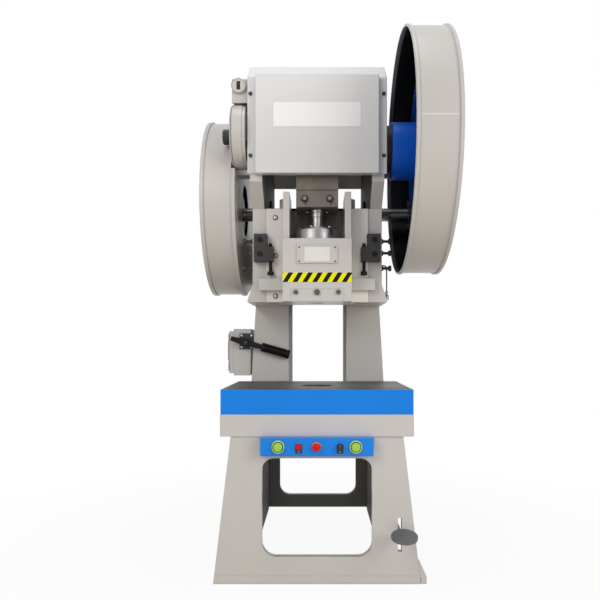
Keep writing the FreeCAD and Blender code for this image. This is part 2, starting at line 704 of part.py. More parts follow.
def make_base():
    keep(base_plate("base_front_plate", "base_front", "base_window_sill"), "base_front_plate")
    rear = "base_rear - base_plate"
    keep(base_plate("base_rear_plate", rear, "rear_window_sill"), "base_rear_plate")
    depth = ("base_front + base_plate", rear)
    inner = "base_inner_width / 2"
    walls = []
    for side, x in (("left", (f"-{inner} - base_plate", f"-{inner}")), ("right", (inner, f"{inner} + base_plate"))):
        body = new_body(f"side_wall_{side}")
        low, high = "0", "base_height"
        edge = rectangle(depth, (low, high))
        pad(body, "YZ_Plane", x, [edge])
        walls.append(body)
    keep(group("side_walls", walls), "base_side_plates")
    feet = []
    near = f"({inner} + base_plate)"
    for side in ("left", "right"):
        for end in ("front", "rear"):
            reach = "foot_reach_left" if (side, end) == ("left", "front") else "foot_reach"
            far = f"({near} + {reach})"
            behind = f"({near} + foot_reach_left)" if end == "front" else far
            tag = f"foot_{end}_{side}"
            if end == "front":
                y = ("base_front + base_plate", "base_front + base_plate + foot_length")
                rib_y = (f"{y[1]} - foot_rib", y[1])
            else:
                y = ("base_rear - base_plate - foot_length", "base_rear - base_plate")
                rib_y = (y[0], f"{y[0]} + foot_rib")
            x, rib_x = (near, far), (near, behind)
            if side == "left":
                x, rib_x = (f"-{far}", f"-{near}"), (f"-{behind}", f"-{near}")
            solids = [box(tag + "_plate", x, y, ("0", "foot_thickness")),
                      box(tag + "_rib", rib_x, rib_y, ("foot_thickness", "foot_rib_height"))]
            if (side, end) == ("right", "front"):
                solids += front_lug(far)
            centre = ("-anchor_pitch_x / 2" if side == "left" else "anchor_pitch_x / 2",
                      "-anchor_pitch_y / 2" if end == "front" else "anchor_pitch_y / 2")
            hole = rod(tag + "_hole", "z", centre, ("-1", "foot_thickness + 1"), "anchor_hole_dia / 2")
            feet.append(cut(tag, fuse(tag + "_weld", solids), [hole]))
    keep(group("feet", feet), "anchor_feet")


def make_table():
    slab = box("slab", both("table_width"), ("front_y", "front_y + table_depth"), ("base_height", "table_top"))
    drop = rod("slab_drop", "z", ("0", "slide_y"), ("base_height - 1", "table_top + 1"), "table_bore_dia / 2")
    keep(cut("table", slab, [drop]), "table_plate")
    body = new_body("bolster")
    depth = ("front_y", "front_y + bolster_depth")
    pad(body, "XY_Plane", ("table_top", "bolster_top"), [rectangle(both("bolster_width"), depth)],
        [("0", "slide_y", "bolster_bore_dia / 2")])
    for middle in ("slide_y - tslot_pitch / 2", "slide_y + tslot_pitch / 2"):
        throat = (f"{middle} - tslot_width / 2", f"{middle} + tslot_width / 2")
        foot = (f"{middle} - tslot_foot_width / 2", f"{middle} + tslot_foot_width / 2")
        top, floor = "bolster_top + 1", "bolster_top - tslot_depth"
        step = f"{floor} + tslot_foot"
        slot = [(throat[0], top), (throat[0], step), (foot[0], step), (foot[0], floor),
                (foot[1], floor), (foot[1], step), (throat[1], step), (throat[1], top)]
        pocket(body, "YZ_Plane", both("bolster_width + 2"), [slot])
    keep(body, "bolster_plate")


# ---------------------------------------------------------------- C-frame

def frame_side():
    """Right-hand side of the frame: head plate, flared column box, guide wall and lip."""
    plate = new_body("head_plate")
    rear_foot = "front_y + frame_rear_foot"
    rear_top = "nose_y + head_depth + head_rear_chamfer"
    profile = [
        ("guide_y", "jaw_z"), ("guide_y", "guide_top"), ("nose_y", "head_nose_bottom"),
        ("nose_y", "head_shoulder"), ("nose_y + head_slope", "head_top"),
        ("nose_y + head_depth", "head_top"), (rear_top, "head_top - head_rear_chamfer"),
        (f"{rear_top} + frame_rear_lean", "jaw_z"), (rear_foot, "table_top"),
        ("throat_y", "table_top"), ("throat_y", "jaw_z"),
    ]
    pad(plate, "YZ_Plane", ("head_inner", "head_outer"), [profile])
    column = new_body("column_box")
    top = "table_top + column_height"
    flare = [
        ("column_gap / 2", "table_top"), ("column_foot_width / 2", "table_top"),
        ("column_top_width / 2", "jaw_z"), ("head_outer", top), ("column_gap / 2", top),
    ]
    pad(column, "XZ_Plane", ("throat_y", "column_rear"), [flare])
    lip = new_body("guide_lip")
    wedge = [("head_outer - 1", "jaw_z"), ("guide_lip_width / 2", "jaw_z"),
             ("guide_lip_width / 2", "jaw_z + guide_lip_edge"), ("head_outer - 1", "jaw_z + guide_lip_height")]
    pad(lip, "XZ_Plane", ("guide_y", "throat_y + 1"), [wedge])
    wall = box("guide_wall", ("guide_inner_width / 2", "head_inner + 1"),
               ("guide_y", "guide_y + guide_wall_depth"), ("jaw_z", "guide_top"))
    ledge = box("guide_ledge_block", ("guide_ledge_width / 2", "guide_inner_width / 2 + 1"),
                ("gib_rear_y", "gib_rear_y + guide_ledge"), ("jaw_z", "guide_top"))
    jaw = box("jaw_deck", ("guide_ledge_width / 2", "head_inner + 1"),
              ("gib_rear_y", "throat_y + 1"), ("jaw_z", "jaw_z + jaw_deck"))
    weld = fuse("side_weld", [plate, column, lip, wall, ledge, jaw])
    beyond = ("head_inner - 40", "head_outer + 40")
    journal = rod("journal_bore", "x", ("slide_y", "crank_z"), beyond, "journal_dia / 2 + bush_wall")
    shaft = rod("shaft_bore", "x", ("shaft_y", "shaft_z"), beyond, "countershaft_spigot_dia / 2")
    screws = []
    for step, height in enumerate(GIB_SCREW_HEIGHTS, start=1):
        screws.append(rod(f"gib_screw_hole_{step}", "x", ("guide_y + gib_screw_inset", height),
                          ("guide_inner_width / 2 - 1", "head_outer + 60"), "gib_screw_dia / 2"))
    bolts = []
    for step, height in enumerate(GIB_BOLT_HEIGHTS, start=1):
        bolts.append(rod(f"gib_bolt_hole_{step}", "y", ("gib_bolt_spacing / 2", height),
                         ("gib_rear_y - 1", "gib_rear_y + guide_ledge + 1"), "gib_bolt_dia / 2"))
    side = cut("side_bored", weld, [journal, shaft] + screws + bolts)
    return side


GIB_SCREW_HEIGHTS = ("gib_screw_low", "gib_screw_mid", "gib_screw_high")
GIB_BOLT_HEIGHTS = ("gib_bolt_low", "gib_bolt_mid", "gib_bolt_high")


def make_frame():
    side = frame_side()
    extra = rod("gib_screw_hole_extra", "x", ("guide_y + gib_screw_inset", "gib_screw_extra"),
                ("guide_inner_width / 2 - 1", "guide_lip_width / 2"), "gib_screw_dia / 2")
    keep(cut("side_right", side, [extra]), "frame_side_right")
    keep(mirrored("side_left", side), "frame_side_left")
    tie_y = ("front_y + tie_setback - tie_thickness", "front_y + tie_setback")
    tie = box("tie", ("-head_inner", "head_inner"), tie_y, ("column_top", "column_top + tie_height"))
    shelf_top = "motor_height - motor_dia / 2 - motor_foot"
    shelf = box("shelf", ("-motor_shelf_left", "motor_shelf_right"),
                ("front_y + tie_setback", "motor_y + motor_dia / 2"), (f"{shelf_top} - shelf_thickness", shelf_top))
    solids = [tie, shelf]
    under = f"{shelf_top} - shelf_thickness"
    ribs = (("a", "-motor_shelf_left"), ("b", "-column_gap / 2 - shelf_thickness"))
    for tag, x in ribs:
        rib = new_body(f"shelf_rib_{tag}")
        edge = [("column_rear", f"{under} - shelf_rib_depth"), ("column_rear + 20", f"{under} - shelf_rib_depth"),
                ("motor_y + motor_dia / 2", f"{under} - 20"), ("motor_y + motor_dia / 2", under),
                ("column_rear", under)]
        pad(rib, "YZ_Plane", (x, f"{x} + shelf_thickness"), [edge])
        solids.append(rib)
    keep(fuse("motor_seat", solids), "rear_tie_plate")
    sheet_y = ("front_y + rear_sheet_setback", "front_y + rear_sheet_setback + rear_sheet")
    sheet_top = f"head_top - ({sheet_y[1]} - nose_y - head_depth) - 1"
    keep(box("rear_sheet_block", ("-head_inner", "head_inner"), sheet_y, ("rear_sheet_bottom", sheet_top)),
         "head_rear_plate")


# ---------------------------------------------------------------- slide and gibs

def ridge_outline(play, crest, root):
    """Right-hand guide ridge or groove in plan, grown by a play, from the root line to the crest."""
    grow = f"({play}) * 1.414"
    half_root = f"(ridge_base / 2 + {grow})"
    half_crest = f"(ridge_crest / 2 + {grow})"
    return [(root, f"ridge_y - {half_root}"), (crest, f"ridge_y - {half_crest}"),
            (crest, f"ridge_y + {half_crest}"), (root, f"ridge_y + {half_root}")]


def make_slide():
    side = "slide_width / 2"
    body = new_body("slide_body")
    right = ridge_outline("0", f"{side} + ridge_height", side)
    left = [(f"-({u})", v) for u, v in reversed(right)]
    plan = [(f"-{side}", "slide_front_y"), (side, "slide_front_y")] + right
    plan += [(side, "slide_rear_y"), (f"-{side}", "slide_rear_y")] + left
    tall = ("slide_bottom", "slide_bottom + slide_height")
    pad(body, "XY_Plane", tall, [plan])
    high = "slide_bottom + slide_height"
    block = "slide_bottom + slide_block_height"
    upright = "slide_front_y + slide_upright_recess"
    wide = both("slide_width + 2")
    pocket(body, "YZ_Plane", wide, [rectangle(("slide_front_y - 1", upright), (block, f"{high} + 1"))])
    cavity = both("slide_cavity_width")
    rear = "slide_front_y + slide_cavity_setback"
    clear = rectangle(cavity, ("slide_front_y - 1", rear))
    pocket(body, "XY_Plane", (block, f"{high} + 1"), [clear])
    back = rectangle(cavity, (f"{rear} - 1", "slide_rear_y + 1"))
    pocket(body, "XY_Plane", ("slide_bottom + slide_back_height", f"{high} + 1"), [back])
    well = [("0", "slide_y", "ball_nut_dia / 2 + guide_clearance")]
    pocket(body, "XY_Plane", ("slide_bottom + slide_floor", f"{block} + 1"), [], well)
    slot_y = ("slide_y - bar_depth / 2 - bar_clearance", "slide_y + bar_depth / 2 + bar_clearance")
    slot_z = ("bar_bottom - bar_clearance", "bar_top + bar_travel + bar_clearance")
    pocket(body, "YZ_Plane", both("slide_width + 2"), [rectangle(slot_y, slot_z)])
    clamp_x = both("shank_clamp_width + 2 * bar_clearance")
    clamp_y = ("slide_front_y - 1", "slide_y")
    pocket(body, "XY_Plane", ("slide_bottom - 1", "slide_bottom + shank_clamp_height + bar_clearance"),
           [rectangle(clamp_x, clamp_y)])
    shank = [("0", "slide_y", "shank_bore_dia / 2")]
    pocket(body, "XY_Plane", ("slide_bottom - 1", "slide_bottom + shank_bore_depth"), [], shank)
    ejector = [("0", "slide_y", "ejector_hole_dia / 2")]
    pocket(body, "XY_Plane", ("slide_bottom + shank_bore_depth - 1", "bar_bottom"), [], ejector)
    bolts = [(x, "slide_bottom + shank_bolt_height", "shank_bolt_dia / 2") for x in SHANK_BOLTS]
    pocket(body, "XZ_Plane", ("slide_y - 1", "slide_y + shank_bolt_depth"), [], bolts)
    keep(body, "slide")


SHANK_BOLTS = ("-shank_bolt_spacing", "shank_bolt_spacing")


def make_shank_clamp():
    y = ("slide_front_y", "slide_y - shank_split")
    z = ("slide_bottom", "slide_bottom + shank_clamp_height")
    block = box("clamp_block", both("shank_clamp_width"), y, z)
    bore = rod("clamp_bore", "z", ("0", "slide_y"), ("slide_bottom - 1", "slide_bottom + shank_bore_depth"),
               "shank_bore_dia / 2")
    holes = []
    screws = []
    height = "slide_bottom + shank_bolt_height"
    for tag, x in zip(("left", "right"), SHANK_BOLTS):
        through = ("slide_front_y - 1", "slide_y")
        holes.append(rod(f"clamp_hole_{tag}", "y", (x, height), through, "shank_bolt_dia / 2"))
        shank = rod(f"clamp_shank_{tag}", "y", (x, height), ("slide_front_y", "slide_y + shank_bolt_depth"),
                    "shank_bolt_dia / 2")
        head = hexagon(f"clamp_head_{tag}", "y", (x, height), ("slide_front_y - shank_head", "slide_front_y"),
                       "shank_bolt_head")
        screws.append(fuse(f"clamp_bolt_{tag}", [shank, head]))
    middle = ("0", height)
    through = ("slide_front_y - 1", "slide_y")
    holes.append(rod("clamp_hole_middle", "y", middle, through, "shank_bolt_dia / 2"))
    set_shank = rod("set_shank", "y", middle, ("slide_front_y", "slide_y - shank_bore_dia / 2 - 4"),
                    "shank_bolt_dia / 2")
    set_head = hexagon("set_head", "y", middle, ("slide_front_y - shank_head", "slide_front_y"),
                       "shank_set_head")
    screws.append(fuse("set_screw", [set_shank, set_head]))
    keep(cut("clamp", block, [bore] + holes), "shank_clamp")
    keep(group("clamp_screws", screws), "shank_clamp_bolts")


def gib(name, front, rear, hole_start):
    """Right-hand gib: a bar with half of the ridge's groove in it, bored for its bolts."""
    x = ("slide_width / 2 + guide_clearance", "guide_inner_width / 2")
    bar = box(name + "_bar", x, (front, rear), ("jaw_z", "guide_top"))
    way = new_body(name + "_way")
    corners = ridge_outline("guide_clearance", "slide_width / 2 + ridge_height + guide_clearance",
                            "slide_width / 2 + guide_clearance - 0.001")
    pad(way, "XY_Plane", ("jaw_z - 1", "guide_top + 1"), [corners])
    tools = [way]
    for step, height in enumerate(GIB_BOLT_HEIGHTS, start=1):
        tools.append(rod(f"{name}_hole_{step}", "y", ("gib_bolt_spacing / 2", height),
                         (hole_start, f"({rear}) + 1"), "gib_bolt_dia / 2"))
    return cut(name, bar, tools)


def make_gibs():
    blind = gib("front_gib_right", "gib_front_y", "ridge_y", "gib_front_y + gib_stud_cover")
    through = gib("front_gib_bored", "gib_front_y", "ridge_y", "gib_front_y - 1")
    sinks = []
    for step, height in enumerate(GIB_BOLT_HEIGHTS, start=1):
        sinks.append(rod(f"front_gib_sink_{step}", "y", ("gib_bolt_spacing / 2", height),
                         ("gib_front_y - 1", "gib_front_y + gib_head - gib_head_proud"),
                         "gib_head_dia / 2 + running_clearance"))
    left = mirrored("front_gib_left", cut("front_gib_sunk", through, sinks))
    keep(group("front_gib_pair", [blind, left]), "front_gibs")
    rear = gib("rear_gib_right", "ridge_y", "gib_rear_y", "ridge_y - 1")
    keep(group("rear_gib_pair", [rear, mirrored("rear_gib_left", rear)]), "rear_gibs")
    keep(group("gib_bolt_set", gib_fasteners()), "gib_bolts")
    screws = []
    for side in ("left", "right"):
        heights = GIB_SCREW_HEIGHTS + (("gib_screw_extra",) if side == "right" else ())
        for step, height in enumerate(heights, start=1):
            screws.append(adjuster(f"gib_screw_{side}_{step}", side, height))
    keep(group("gib_screw_set", screws), "gib_adjusters")


def gib_fasteners():
    """Sunk socket screws in the left gib and blind studs in the right one."""
    end = "gib_rear_y + guide_ledge"
    fasteners = []
    for step, height in enumerate(GIB_BOLT_HEIGHTS, start=1):
        centre = ("-gib_bolt_spacing / 2", height)
        front = "gib_front_y - gib_head_proud"
        shank = rod(f"gib_shank_{step}", "y", centre, (f"{front} + 1", end), "gib_bolt_dia / 2")
        head = rod(f"gib_head_{step}", "y", centre, (front, f"{front} + gib_head"), "gib_head_dia / 2")
        socket = hexagon(f"gib_socket_{step}", "y", centre, (f"{front} - 1", f"{front} + gib_socket_depth"),
                         "gib_socket / 2")
        fasteners.append(cut(f"gib_bolt_{step}", fuse(f"gib_bolt_blank_{step}", [shank, head]), [socket]))
        fasteners.append(rod(f"gib_stud_{step}", "y", ("gib_bolt_spacing / 2", height),
                             ("gib_front_y + gib_stud_cover", end), "gib_bolt_dia / 2"))
    return fasteners


def adjuster(tag, side, height):
    """Adjusting screw with its locknut against the head and a hexagon at its end."""
    centre = ("guide_y + gib_screw_inset", height)
    tip = "head_outer + gib_screw_reach"
    spans = {
        "stud": ("guide_inner_width / 2", tip),
        "nut": ("head_outer", "head_outer + gib_locknut"),
        "head": (f"{tip} - gib_screw_head", tip),
    }
    if side == "left":
        spans = {part: (f"-({high})", f"-({low})") for part, (low, high) in spans.items()}
    stud = rod(tag + "_stud", "x", centre, spans["stud"], "gib_screw_dia / 2")
    nut = hexagon(tag + "_nut", "x", centre, spans["nut"], "gib_locknut_radius")
    head = hexagon(tag + "_head", "x", centre, spans["head"], "gib_screw_head_radius")
    return fuse(tag, [stud, nut, head])


def make_stops():
    keep(box("bar", both("bar_length"), ("slide_y - bar_depth / 2", "slide_y + bar_depth / 2"),
             ("bar_bottom", "bar_top")), "knockout_bar")
    brackets = []
    fasteners = []
    inner = "(guide_inner_width / 2 - stop_block_lap)"
    front = "slide_y - stop_bracket_front"
    top = "stop_bracket_bottom + stop_bracket_height"
    block = box("stop_block", (inner, f"{inner} + stop_bracket_width"), (front, "guide_y"),
                ("stop_bracket_bottom", top))
    relief = box("stop_relief", (f"{inner} - 1", "guide_inner_width / 2"), ("gib_front_y", "guide_y + 1"),
                 ("stop_bracket_bottom - 1", f"{top} + 1"))
    arm = box("stop_arm", (f"{inner} - stop_arm_reach", inner), (front, "gib_front_y - stop_arm_gap"),
              ("stop_bracket_bottom", "stop_bracket_bottom + stop_arm_height"))
    weld = cut("stop_weld", fuse("stop_join", [block, arm]), [relief])
    bolt_x = "stop_bolt_spacing / 2"
    hole = rod("stop_hole", "z", (bolt_x, "slide_y"), ("stop_bracket_bottom - 1", f"{top} + 1"),
               "stop_bolt_dia / 2")
    screw_x = f"{inner} + stop_bracket_width / 2"
    screw_heights = ("stop_bracket_bottom + stop_screw_low", "stop_bracket_bottom + stop_screw_high")
    screw_holes = [rod(f"stop_screw_hole_{step}", "y", (screw_x, height), (f"{front} - 1", "guide_y + 1"),
                       "stop_screw_dia / 2") for step, height in enumerate(screw_heights, start=1)]
    right = cut("stop_right", weld, [hole] + screw_holes)
    brackets = [right, mirrored("stop_left", right)]
    keep(group("stop_pair", brackets), "stop_brackets")
    head_bottom = "bar_top + stop_gap"
    shank = rod("stop_shank", "z", (bolt_x, "slide_y"),
                (f"{head_bottom} + stop_head_height", "stop_bracket_bottom + stop_arm_height + stop_bolt_end"),
                "stop_bolt_dia / 2")
    head = hexagon("stop_head", "z", (bolt_x, "slide_y"), (head_bottom, f"{head_bottom} + stop_head_height"),
                   "stop_bolt_dia")
    bolt = fuse("stop_bolt_right", [shank, head])
    fasteners = [bolt, mirrored("stop_bolt_left", bolt)]
    for step, height in enumerate(screw_heights, start=1):
        shank = rod(f"stop_screw_shank_{step}", "y", (screw_x, height), (front, "guide_y"), "stop_screw_dia / 2")
        cap = rod(f"stop_screw_cap_{step}", "y", (screw_x, height), (f"{front} - stop_screw_head", front),
                  "stop_screw_head_dia / 2")
        screw = fuse(f"stop_screw_{step}", [shank, cap])
        fasteners += [screw, mirrored(f"stop_screw_left_{step}", screw)]
    keep(group("stop_fasteners", fasteners), "stop_bolts")


def make_cover_plate():
    z = ("slide_bottom + cover_plate_sill", "slide_bottom + cover_plate_sill + cover_plate_height")
    keep(box("cover_plate", both("cover_plate_width"), ("slide_front_y - cover_plate_thickness", "slide_front_y"), z),
         "slide_cover_plate")


# ---------------------------------------------------------------- rod, screw and crank

def make_rod():
    x = both("rod_width")
    y = ("slide_y - rod_half_depth", "slide_y + rod_half_depth")
    bottom, split = "rod_clamp_bottom", "rod_clamp_bottom + rod_clamp_height"
    block = box("rod_block", x, y, (bottom, "rod_block_top"))
    shank = new_body("rod_shank")
    neck = [("-rod_width / 2", "rod_block_top"), ("rod_width / 2", "rod_block_top"),
            ("rod_head_width / 2", "rod_block_top + rod_neck_height"), ("rod_head_width / 2", "crankpin_z"),
            ("-rod_head_width / 2", "crankpin_z"), ("-rod_head_width / 2", "rod_block_top + rod_neck_height")]
    pad(shank, "XZ_Plane", ("slide_y - rod_half_depth", "slide_y + rod_half_depth"), [neck])
    head = rod("rod_head", "x", ("slide_y", "crankpin_z"), both("rod_head_width"), "rod_head_radius")
    joined = fuse("rod_join", [block, shank, head])
    bore = rod("rod_bore", "z", ("0", "slide_y"), (f"{bottom} - 1", "screw_top + screw_headroom"),
               "screw_dia / 2 + running_clearance")
    big_end = rod("rod_big_end", "x", ("slide_y", "crankpin_z"), both("rod_head_width + 2"),
                  "crankpin_dia / 2 + running_clearance")
    seat = box("rod_cap_seat", both("rod_width + 2"), ("slide_y - rod_half_depth - 1", "slide_y"),
               (f"{bottom} - 1", f"{split} + rod_clamp_split"))
    height = f"{bottom} + rod_clamp_height / 2"
    holes = []
    bolts = []
    cap_holes = []
    for tag, place_x in (("left", "-rod_bolt_spacing / 2"), ("right", "rod_bolt_spacing / 2")):
        reach = ("slide_y - rod_half_depth - 1", "slide_y + rod_half_depth - rod_bolt_end")
        holes.append(rod(f"rod_hole_{tag}", "y", (place_x, height), reach, "rod_bolt_dia / 2"))
        cap_holes.append(rod(f"rod_cap_hole_{tag}", "y", (place_x, height), reach, "rod_bolt_dia / 2"))
        shaft = rod(f"rod_bolt_shank_{tag}", "y", (place_x, height),
                    ("slide_y - rod_half_depth", "slide_y + rod_half_depth - rod_bolt_end"), "rod_bolt_dia / 2")
        top = rod(f"rod_bolt_head_{tag}", "y", (place_x, height),
                  ("slide_y - rod_half_depth - rod_bolt_head", "slide_y - rod_half_depth"),
                  "rod_bolt_head_dia / 2")
        bolts.append(fuse(f"rod_bolt_{tag}", [shaft, top]))
    keep(cut("rod_body", joined, [bore, big_end, seat] + holes), "connecting_rod")
    cap = box("rod_cap_block", x, ("slide_y - rod_half_depth", "slide_y - 1"), (bottom, split))
    cap_bore = rod("rod_cap_bore", "z", ("0", "slide_y"), (f"{bottom} - 1", f"{split} + 1"),
                   "screw_dia / 2 + running_clearance")
    keep(cut("rod_cap", cap, [cap_bore] + cap_holes), "rod_clamp_cap")
    keep(group("rod_bolt_pair", bolts), "rod_bolts")


NUT_SCREWS = 6
NUT_SCREW_START = -108


def make_screw():
    collar_top = "rod_clamp_bottom - collar_gap"
    collar_low = f"{collar_top} - collar_height"
    step_low = f"{collar_low} - collar_step"
    neck, step, collar = "screw_neck_dia / 2", "collar_step_dia / 2", "collar_dia / 2"
    stem = turned("screw_stem", "z", [
        ("ball_height", "0"), ("ball_height", neck), (step_low, neck), (step_low, step), (collar_low, step),
        (collar_low, collar), (collar_top, collar), (collar_top, "screw_dia / 2"),
        ("screw_top - 4", "screw_dia / 2"), ("screw_top", "screw_dia / 2 - 4"), ("screw_top", "0"),
    ], ("0", "slide_y"))
    tommy = rod("screw_tommy", "x", ("slide_y", f"{collar_low} + collar_height / 2"), both("tommy_length"),
                "tommy_dia / 2")
    tip = ball("screw_ball", ("0", "slide_y", "ball_height"), "ball_dia / 2")
    keep(fuse("screw", [stem, tip, tommy]), "ball_screw")
    outer = "ball_nut_dia / 2"
    nut = turned("nut_ring", "z", [
        ("ball_nut_bottom", "ball_dia / 2 - 14"), ("ball_nut_bottom", outer), ("ball_nut_top - 10", outer),
        ("ball_nut_top", f"{outer} - 8"), ("ball_nut_top", "nut_bore_dia / 2"),
        ("ball_nut_top - 40", "nut_bore_dia / 2"),
    ], ("0", "slide_y"))
    socket = ball("nut_socket", ("0", "slide_y", "ball_height"), "ball_dia / 2 + guide_clearance")
    heads = []
    for step in range(NUT_SCREWS):
        turn = math.radians(NUT_SCREW_START + 360 * step / NUT_SCREWS)
        centre = (f"{math.cos(turn):.6f} * nut_screw_circle / 2", f"slide_y + {math.sin(turn):.6f} * nut_screw_circle / 2")
        heads.append(rod(f"nut_screw_{step + 1}", "z", centre, ("ball_nut_top - 1", "ball_nut_top + nut_screw_head"),
                         "nut_screw_dia / 2"))
    keep(cut("nut", fuse("nut_join", [nut] + heads), [socket]), "ball_nut")
    floor = "slide_bottom + slide_floor"
    seat = rod("seat_block", "z", ("0", "slide_y"), (floor, "ball_nut_bottom - 2"), "ball_seat_dia / 2")
    cup = ball("seat_cup", ("0", "slide_y", "ball_height"), "ball_dia / 2")
    keep(cut("seat", seat, [cup]), "ball_seat")


def make_crank():
    pin_end = "rod_head_width / 2 + 2"
    web_end = f"{pin_end} + web_thickness"
    right_end = "gear_start + gear_face / 2 + 30"
    left_end = "brake_drum_start + brake_drum_width"
    main = "journal_dia / 2"
    shaft_right = turned("shaft_right", "x", [
        (web_end, "0"), (web_end, f"{main} + 10"), ("head_inner - 4", f"{main} + 10"),
        ("head_inner - 4", main), (right_end, main), (right_end, "0"),
    ], ("slide_y", "crank_z"))
    shaft_left = turned("shaft_left", "x", [
        (f"-({left_end})", "0"), (f"-({left_end})", "journal_dia / 2 - 8"), ("-head_outer - 6", "journal_dia / 2 - 8"),
        ("-head_outer - 6", main), ("-head_inner + 4", main), ("-head_inner + 4", f"{main} + 10"),
        (f"-({web_end})", f"{main} + 10"), (f"-({web_end})", "0"),
    ], ("slide_y", "crank_z"))
    pin = rod("crank_pin", "x", ("slide_y", "crankpin_z"), (f"-({pin_end}) - 1", f"{pin_end} + 1"),
              "crankpin_dia / 2")
    webs = []
    for tag, span in (("left", (f"-({web_end})", f"-({pin_end})")), ("right", (pin_end, web_end))):
        low = rod(f"web_low_{tag}", "x", ("slide_y", "crank_z"), span, "web_radius")
        high = rod(f"web_high_{tag}", "x", ("slide_y", "crankpin_z"), span, "web_radius")
        between = box(f"web_mid_{tag}", span, ("slide_y - web_radius", "slide_y + web_radius"),
                      ("crank_z", "crankpin_z"))
        webs += [low, high, between]
    keep(fuse("crank", [shaft_right, shaft_left, pin] + webs), "crankshaft")
    bushes = []
    for tag, span in (("left", ("-head_outer - 6", "-head_inner")), ("right", ("head_inner", "head_outer + 6"))):
        outer = rod(f"bush_outer_{tag}", "x", ("slide_y", "crank_z"), span, "journal_dia / 2 + bush_wall")
        inner = rod(f"bush_inner_{tag}", "x", ("slide_y", "crank_z"), (f"{span[0]} - 1", f"{span[1]} + 1"),
                    "journal_dia / 2 + running_clearance")
        bushes.append(cut(f"bush_{tag}", outer, [inner]))
    keep(group("bush_pair", bushes), "crank_bushes")


# ---------------------------------------------------------------- gear train

def involute(angle):
    return math.tan(angle) - angle


def toothed_outline(teeth, phase):
    """Closed wire of an involute spur gear about the origin of the Y-Z plane, with stub teeth."""
    module = number("gear_module")
    pitch = module * teeth / 2
    base = pitch * math.cos(math.radians(20))
    tip = pitch + module * number("gear_addendum")
    root = pitch - module * number("gear_dedendum")
    half_tooth = math.pi / (2 * teeth) - number("gear_backlash") / (4 * pitch)
    start = max(base, root + 0.5)
    radii = [start, (start + pitch) / 2, pitch, tip] if start < pitch - 1 else [start, pitch, tip]

    def half_angle(radius):
        pressure = math.acos(min(1, base / radius))
        return half_tooth + involute(math.radians(20)) - involute(pressure)

    points = []
    for tooth in range(teeth):
        middle = phase + 2 * math.pi * tooth / teeth
        flank = [(radius, -half_angle(radius)) for radius in radii]
        sides = [(root, -half_angle(start))] + flank + [(r, -a) for r, a in reversed(flank)]
        sides.append((root, half_angle(start)))
        points += [(radius * math.cos(middle + turn), radius * math.sin(middle + turn)) for radius, turn in sides]
    corners = [FreeCAD.Vector(0, y, z) for y, z in points]
    return Part.makePolygon(corners + corners[:1])


def mesh_phases():
    """Angles of one tooth of each gear, so that a gear tooth points into a pinion gap."""
    towards = math.atan2(-number("countershaft_drop"), number("shaft_y - slide_y"))
    gap = math.pi / round(number("pinion_teeth"))
    return towards, towards + math.pi + gap


def toothed(name, teeth, phase, x_start, width, y, z):
    """Solid toothed disc as a feature whose outline is worked out from the sheet."""
    face = Part.Face(toothed_outline(teeth, phase))
    solid = face.extrude(FreeCAD.Vector(width, 0, 0))
    feature = doc.addObject("Part::Feature", name)
    feature.Shape = solid
    feature.Placement = FreeCAD.Placement(FreeCAD.Vector(x_start, y, z), FreeCAD.Rotation())
    return feature


def make_bull_gear():
    gear_phase, pinion_phase = mesh_phases()
    y, z = number("slide_y"), number("crank_z")
    teeth = round(number("gear_teeth"))
    disc = toothed("gear_teeth_disc", teeth, gear_phase, number("gear_start"), number("gear_face"), y, z)
    rim = "gear_module * gear_teeth / 2 - gear_module * gear_dedendum - gear_rim"
    hub = "gear_hub_dia / 2"
    web = ("gear_start + gear_web_start", "gear_start + gear_web_start + gear_web")
    recess_front = turned("gear_recess_front", "x", [
        ("gear_start - 1", hub), ("gear_start - 1", rim), (web[0], f"{rim} - 10"), (web[0], hub),
    ], ("slide_y", "crank_z"))
    recess_back = turned("gear_recess_back", "x", [
        (web[1], hub), (web[1], f"{rim} - 10"), ("gear_start + gear_face + 1", rim),
        ("gear_start + gear_face + 1", hub),
    ], ("slide_y", "crank_z"))
    nose = turned("gear_hub", "x", [
        ("gear_hub_start", "0"), ("gear_hub_start", f"{hub} - 6"), ("gear_hub_start + 6", hub),
        ("gear_start + 1", hub), ("gear_start + 1", "0"),
    ], ("slide_y", "crank_z"))
    bore = rod("gear_bore", "x", ("slide_y", "crank_z"), ("gear_hub_start - 1", "gear_start + gear_face + 1"),
               "journal_dia / 2 + running_clearance")
    holes = []
    count = 6
    for step in range(count):
        turn = math.pi / 2 + 2 * math.pi * step / count
        across = f"slide_y + {math.cos(turn):.6f} * gear_hole_circle / 2"
        up = f"crank_z + {math.sin(turn):.6f} * gear_hole_circle / 2"
        holes.append(rod(f"gear_hole_{step + 1}", "x", (across, up), ("gear_start", "gear_start + gear_face"),
                         "gear_hole_dia / 2"))
    keep(cut("gear", fuse("gear_blank", [disc, nose]), [recess_front, recess_back, bore] + holes), "bull_gear")
    ring = rod("ring_outer", "x", ("slide_y", "crank_z"), ("gear_hub_start - clutch_ring_width", "gear_hub_start"),
               "clutch_ring_dia / 2")
    ring_bore = rod("ring_bore", "x", ("slide_y", "crank_z"),
                    ("gear_hub_start - clutch_ring_width - 1", "gear_hub_start + 1"), "journal_dia / 2 + 4")
    keep(cut("ring", ring, [ring_bore]), "clutch_ring")
    return pinion_phase


